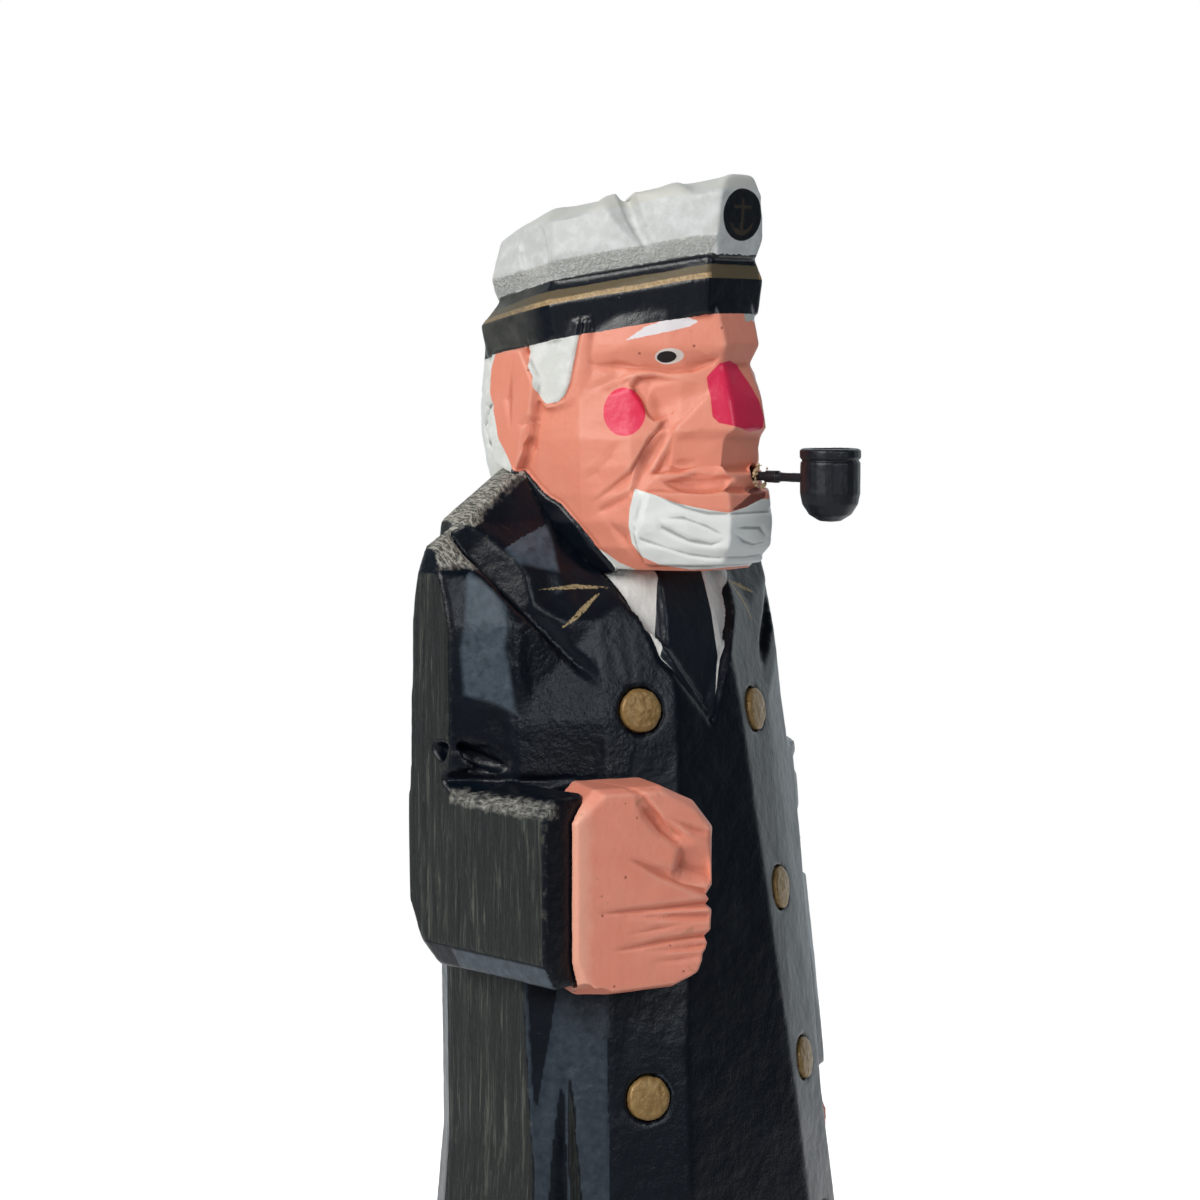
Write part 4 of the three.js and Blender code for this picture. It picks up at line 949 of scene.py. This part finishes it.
def make_hand(name, node, seed, cuts):
    block = Block(name, [node], voxel=0.27, soften=5)
    block.whittle(seed, number=4, length=12, width=5, depth=0.10)
    block.smooth(1)
    depth = np.zeros(block.count)
    plane = np.column_stack([-block.points[:, 0], block.points[:, 2] - SEAT])
    if cuts:
        block.smooth(30, share=smoothstep(oval(plane, THUMB_END, THUMB_END_HALF), 0, 1))
    for places, walls, depths in cuts:
        depth = np.maximum(depth, notch(plane, places, walls, depths))
    block.carve(depth * smoothstep(block.normals()[:, 1], -0.2, 0.2))
    block.smooth(1)
    block.mark("relief", block.relief(14))
    # Where the painted highlight lies: the fist's outer bevel by the cuff
    block.mark("edge", -block.points[:, 0] - WRIST_EDGE)
    block.push(0.02 * noise(block.points, 0.9) + 0.06 * noise(block.points, 3.5))
    block.finish(HAND)


def make_button(node, seed):
    block = Block(f"{node}_painted", [node], voxel=0.16, soften=4)
    wrinkles = noise(block.points, 1.1, seed * 0.37)
    block.push(0.10 + 0.10 * wrinkles + 0.05 * noise(block.points, 0.45, seed * 0.61))
    block.smooth(1)
    block.mark("relief", block.relief(10))
    block.finish(GOLD_PAINT)


def make_pipe():
    for name, node, body, voxel in (("pipe_bowl_painted", "pipe_bowl", "bowl", 0.16),
                                    ("pipe_stem_painted", "pipe_stem", "stem", 0.10)):
        block = Block(name, [node], voxel, soften=6, body=body)
        block.push(0.02 * noise(block.points, 0.6) + 0.03 * noise(block.points, 2.0))
        block.finish(PIPE_PAINT)


SOLE_THICK = 4.6


def make_shoe(name, node):
    block = Block(name, [node], voxel=0.6, soften=8)
    block.mark("sole", SOLE_THICK - block.points[:, 2])
    block.push(0.05 * noise(block.points, 3.0))
    block.finish(SHOE_PAINT)


CRUMBS = 46
MOUTH_FORWARD = 34.3


def make_crumbs():
    """Raw wood torn up round the hole for the pipe."""
    rng = np.random.default_rng(8)
    low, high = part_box("pipe_stem")
    hole = Vector(((low.x + high.x) / 2, 0, (low.z + high.z) / 2))
    vertices = []
    faces = []
    for _ in range(CRUMBS):
        angle = rng.uniform(0, 2 * math.pi)
        away = rng.uniform(1.15, 2.1)
        size = rng.uniform(0.16, 0.42)
        middle = np.array([away * math.cos(angle), 0, away * math.sin(angle)])
        start = len(vertices)
        for sign in (-1, 1):
            for axis in range(3):
                tip = np.zeros(3)
                tip[axis] = sign * size * rng.uniform(0.6, 1.3)
                vertices.append(middle + tip)
        order = [(3, 4, 5), (4, 0, 5), (0, 1, 5), (1, 3, 5), (4, 3, 2), (0, 4, 2), (1, 0, 2), (3, 1, 2)]
        faces += [tuple(start + i for i in face) for face in order]
    mesh = bpy.data.meshes.new("mouth_crumbs")
    front = at(0, MOUTH_FORWARD, 0).y
    places = [(hole.x + v[0] * MM, front + v[1] * MM, hole.z + v[2] * MM) for v in vertices]
    mesh.from_pydata(places, [], faces)
    mesh.validate()
    crumbs = bpy.data.objects.new("mouth_crumbs", mesh)
    SCENE.collection.objects.link(crumbs)
    crumbs.data.materials.append(BARE_WOOD)
    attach(crumbs, "figure")


# Floor, light and camera

BEHIND = (0.70, 0.70, -0.10)  # from the camera through the figure
ROOM_LIGHT = 0.055
PAPER_LIGHT = 1.0
FLOOR_GLOW = 0.35
FLOOR_GREY = 0.66
LAMP_AIM = 200
CAMERA_AIM = 233
CAMERA_PLACE = (-338.1, 338.1, 276.0)


def make_floor():
    """A pale floor, which keeps the shadow near the figure and is white farther off."""
    bpy.ops.mesh.primitive_circle_add(vertices=96, radius=0.7, fill_type="NGON", location=(0, 0, -0.0002))
    floor = bpy.context.object
    floor.name = "floor"
    material = bpy.data.materials.new("floor_white")
    material.use_nodes = True
    tree = material.node_tree
    ray = add_node(tree, "ShaderNodeLightPath").outputs
    place = add_node(tree, "ShaderNodeTexCoord").outputs["Object"]
    distance = add_node(tree, "ShaderNodeVectorMath", {0: place}, operation="LENGTH")
    reach = {"Value": distance.outputs["Value"], "From Min": 0.12, "From Max": 0.42, "To Min": FLOOR_GLOW}
    far = add_node(tree, "ShaderNodeMapRange", reach, interpolation_type="SMOOTHSTEP")
    behind = add_node(tree, "ShaderNodeVectorMath", {0: place, 1: BEHIND}, operation="DOT_PRODUCT")
    mirrored = add_node(tree, "ShaderNodeMapRange", {"Value": behind.outputs["Value"], "From Max": 0.2})
    in_gloss = {0: ray["Is Glossy Ray"], 1: mirrored.outputs["Result"]}
    in_gloss = add_node(tree, "ShaderNodeMath", in_gloss, operation="MULTIPLY")
    seen = {0: ray["Is Camera Ray"], 1: in_gloss.outputs[0]}
    seen = add_node(tree, "ShaderNodeMath", seen, operation="ADD", use_clamp=True)
    glow = {0: seen.outputs[0], 1: far.outputs["Result"]}
    glow = add_node(tree, "ShaderNodeMath", glow, operation="MULTIPLY")
    shader = tree.nodes["Principled BSDF"]
    shader.inputs["Base Color"].default_value = (FLOOR_GREY, FLOOR_GREY, FLOOR_GREY, 1)
    shader.inputs["Roughness"].default_value = 0.9
    shader.inputs["Emission Color"].default_value = (1, 1, 1, 1)
    tree.links.new(glow.outputs[0], shader.inputs["Emission Strength"])
    floor.data.materials.append(material)


def make_world():
    """A dim room with a white paper backdrop behind the figure, which its glossy paint mirrors."""
    world = bpy.data.worlds.new("studio")
    SCENE.world = world
    world.use_nodes = True
    tree = world.node_tree
    direction = add_node(tree, "ShaderNodeTexCoord").outputs["Generated"]
    behind = add_node(tree, "ShaderNodeVectorMath", {0: direction, 1: BEHIND}, operation="DOT_PRODUCT")
    share = {"Value": behind.outputs["Value"], "From Min": 0.2, "From Max": 0.6}
    share = add_node(tree, "ShaderNodeMapRange", share, interpolation_type="SMOOTHSTEP")
    room = tree.nodes["Background"]
    room.inputs["Color"].default_value = (0.60, 0.78, 1.0, 1)
    room.inputs["Strength"].default_value = ROOM_LIGHT
    paper = add_node(tree, "ShaderNodeBackground", {"Color": (0.86, 0.95, 1.0, 1), "Strength": PAPER_LIGHT})
    lit = {0: share.outputs["Result"], 1: room.outputs[0], 2: paper.outputs[0]}
    lit = add_node(tree, "ShaderNodeMixShader", lit)
    white = add_node(tree, "ShaderNodeBackground", {"Color": (1, 1, 1, 1)})
    seen = add_node(tree, "ShaderNodeLightPath").outputs["Is Camera Ray"]
    shown = add_node(tree, "ShaderNodeMixShader", {0: seen, 1: lit.outputs[0], 2: white.outputs[0]})
    tree.links.new(shown.outputs[0], tree.nodes["World Output"].inputs["Surface"])


def make_light(name, left, forward, up, side, power, color):
    data = bpy.data.lights.new(name, "AREA")
    data.shape = "SQUARE"
    data.size = side
    data.energy = power
    data.color = color
    lamp = bpy.data.objects.new(name, data)
    SCENE.collection.objects.link(lamp)
    lamp.location = at(left, forward, up)
    lamp.rotation_euler = (at(0, 0, LAMP_AIM) - lamp.location).to_track_quat("-Z", "Y").to_euler()
    return lamp


def make_camera():
    data = bpy.data.cameras.new("photo")
    data.sensor_width = 36
    data.lens = 83.4
    data.clip_start = 0.01
    camera = bpy.data.objects.new("photo", data)
    SCENE.collection.objects.link(camera)
    camera.location = at(*CAMERA_PLACE)
    camera.rotation_euler = (at(0, 0, CAMERA_AIM) - camera.location).to_track_quat("-Z", "Y").to_euler()
    SCENE.camera = camera


COAT = coat_material()
HAND = hand_material()
GOLD_PAINT = gold_material()
PIPE_PAINT = pipe_material()
BARE_WOOD = bare_material()
SHOE_PAINT = shoe_material()

make_head()
make_coat()
make_hand("carved_right_hand", "right_hand", 31, FIST_CUTS)
make_hand("carved_left_hand", "left_hand", 32, ())
for row in range(1, 5):
    for side in ("left", "right"):
        make_button(f"button_{side}_{row}", row * 2 + (side == "right"))
make_pipe()
make_shoe("painted_right_shoe", "right_shoe")
make_shoe("painted_left_shoe", "left_shoe")
make_crumbs()
for node, slot in SLOT_OF.items():
    if slot == "bare_wood":
        dowel = frame["nodes"][node]
        dowel.data.materials.clear()
        dowel.data.materials.append(BARE_WOOD)

make_floor()
make_world()
make_light("key", -1150, 150, 850, 0.7, 14.5, (1.0, 0.985, 0.96))
make_light("front", -200, 1250, 640, 0.42, 2.4, (0.90, 0.95, 1.0))
sheen = make_light("sheen", -260, 1250, 640, 0.36, 1.1, (0.86, 0.94, 1.0))
sheen.visible_diffuse = False
make_camera()
SCENE.view_settings.view_transform = "Standard"
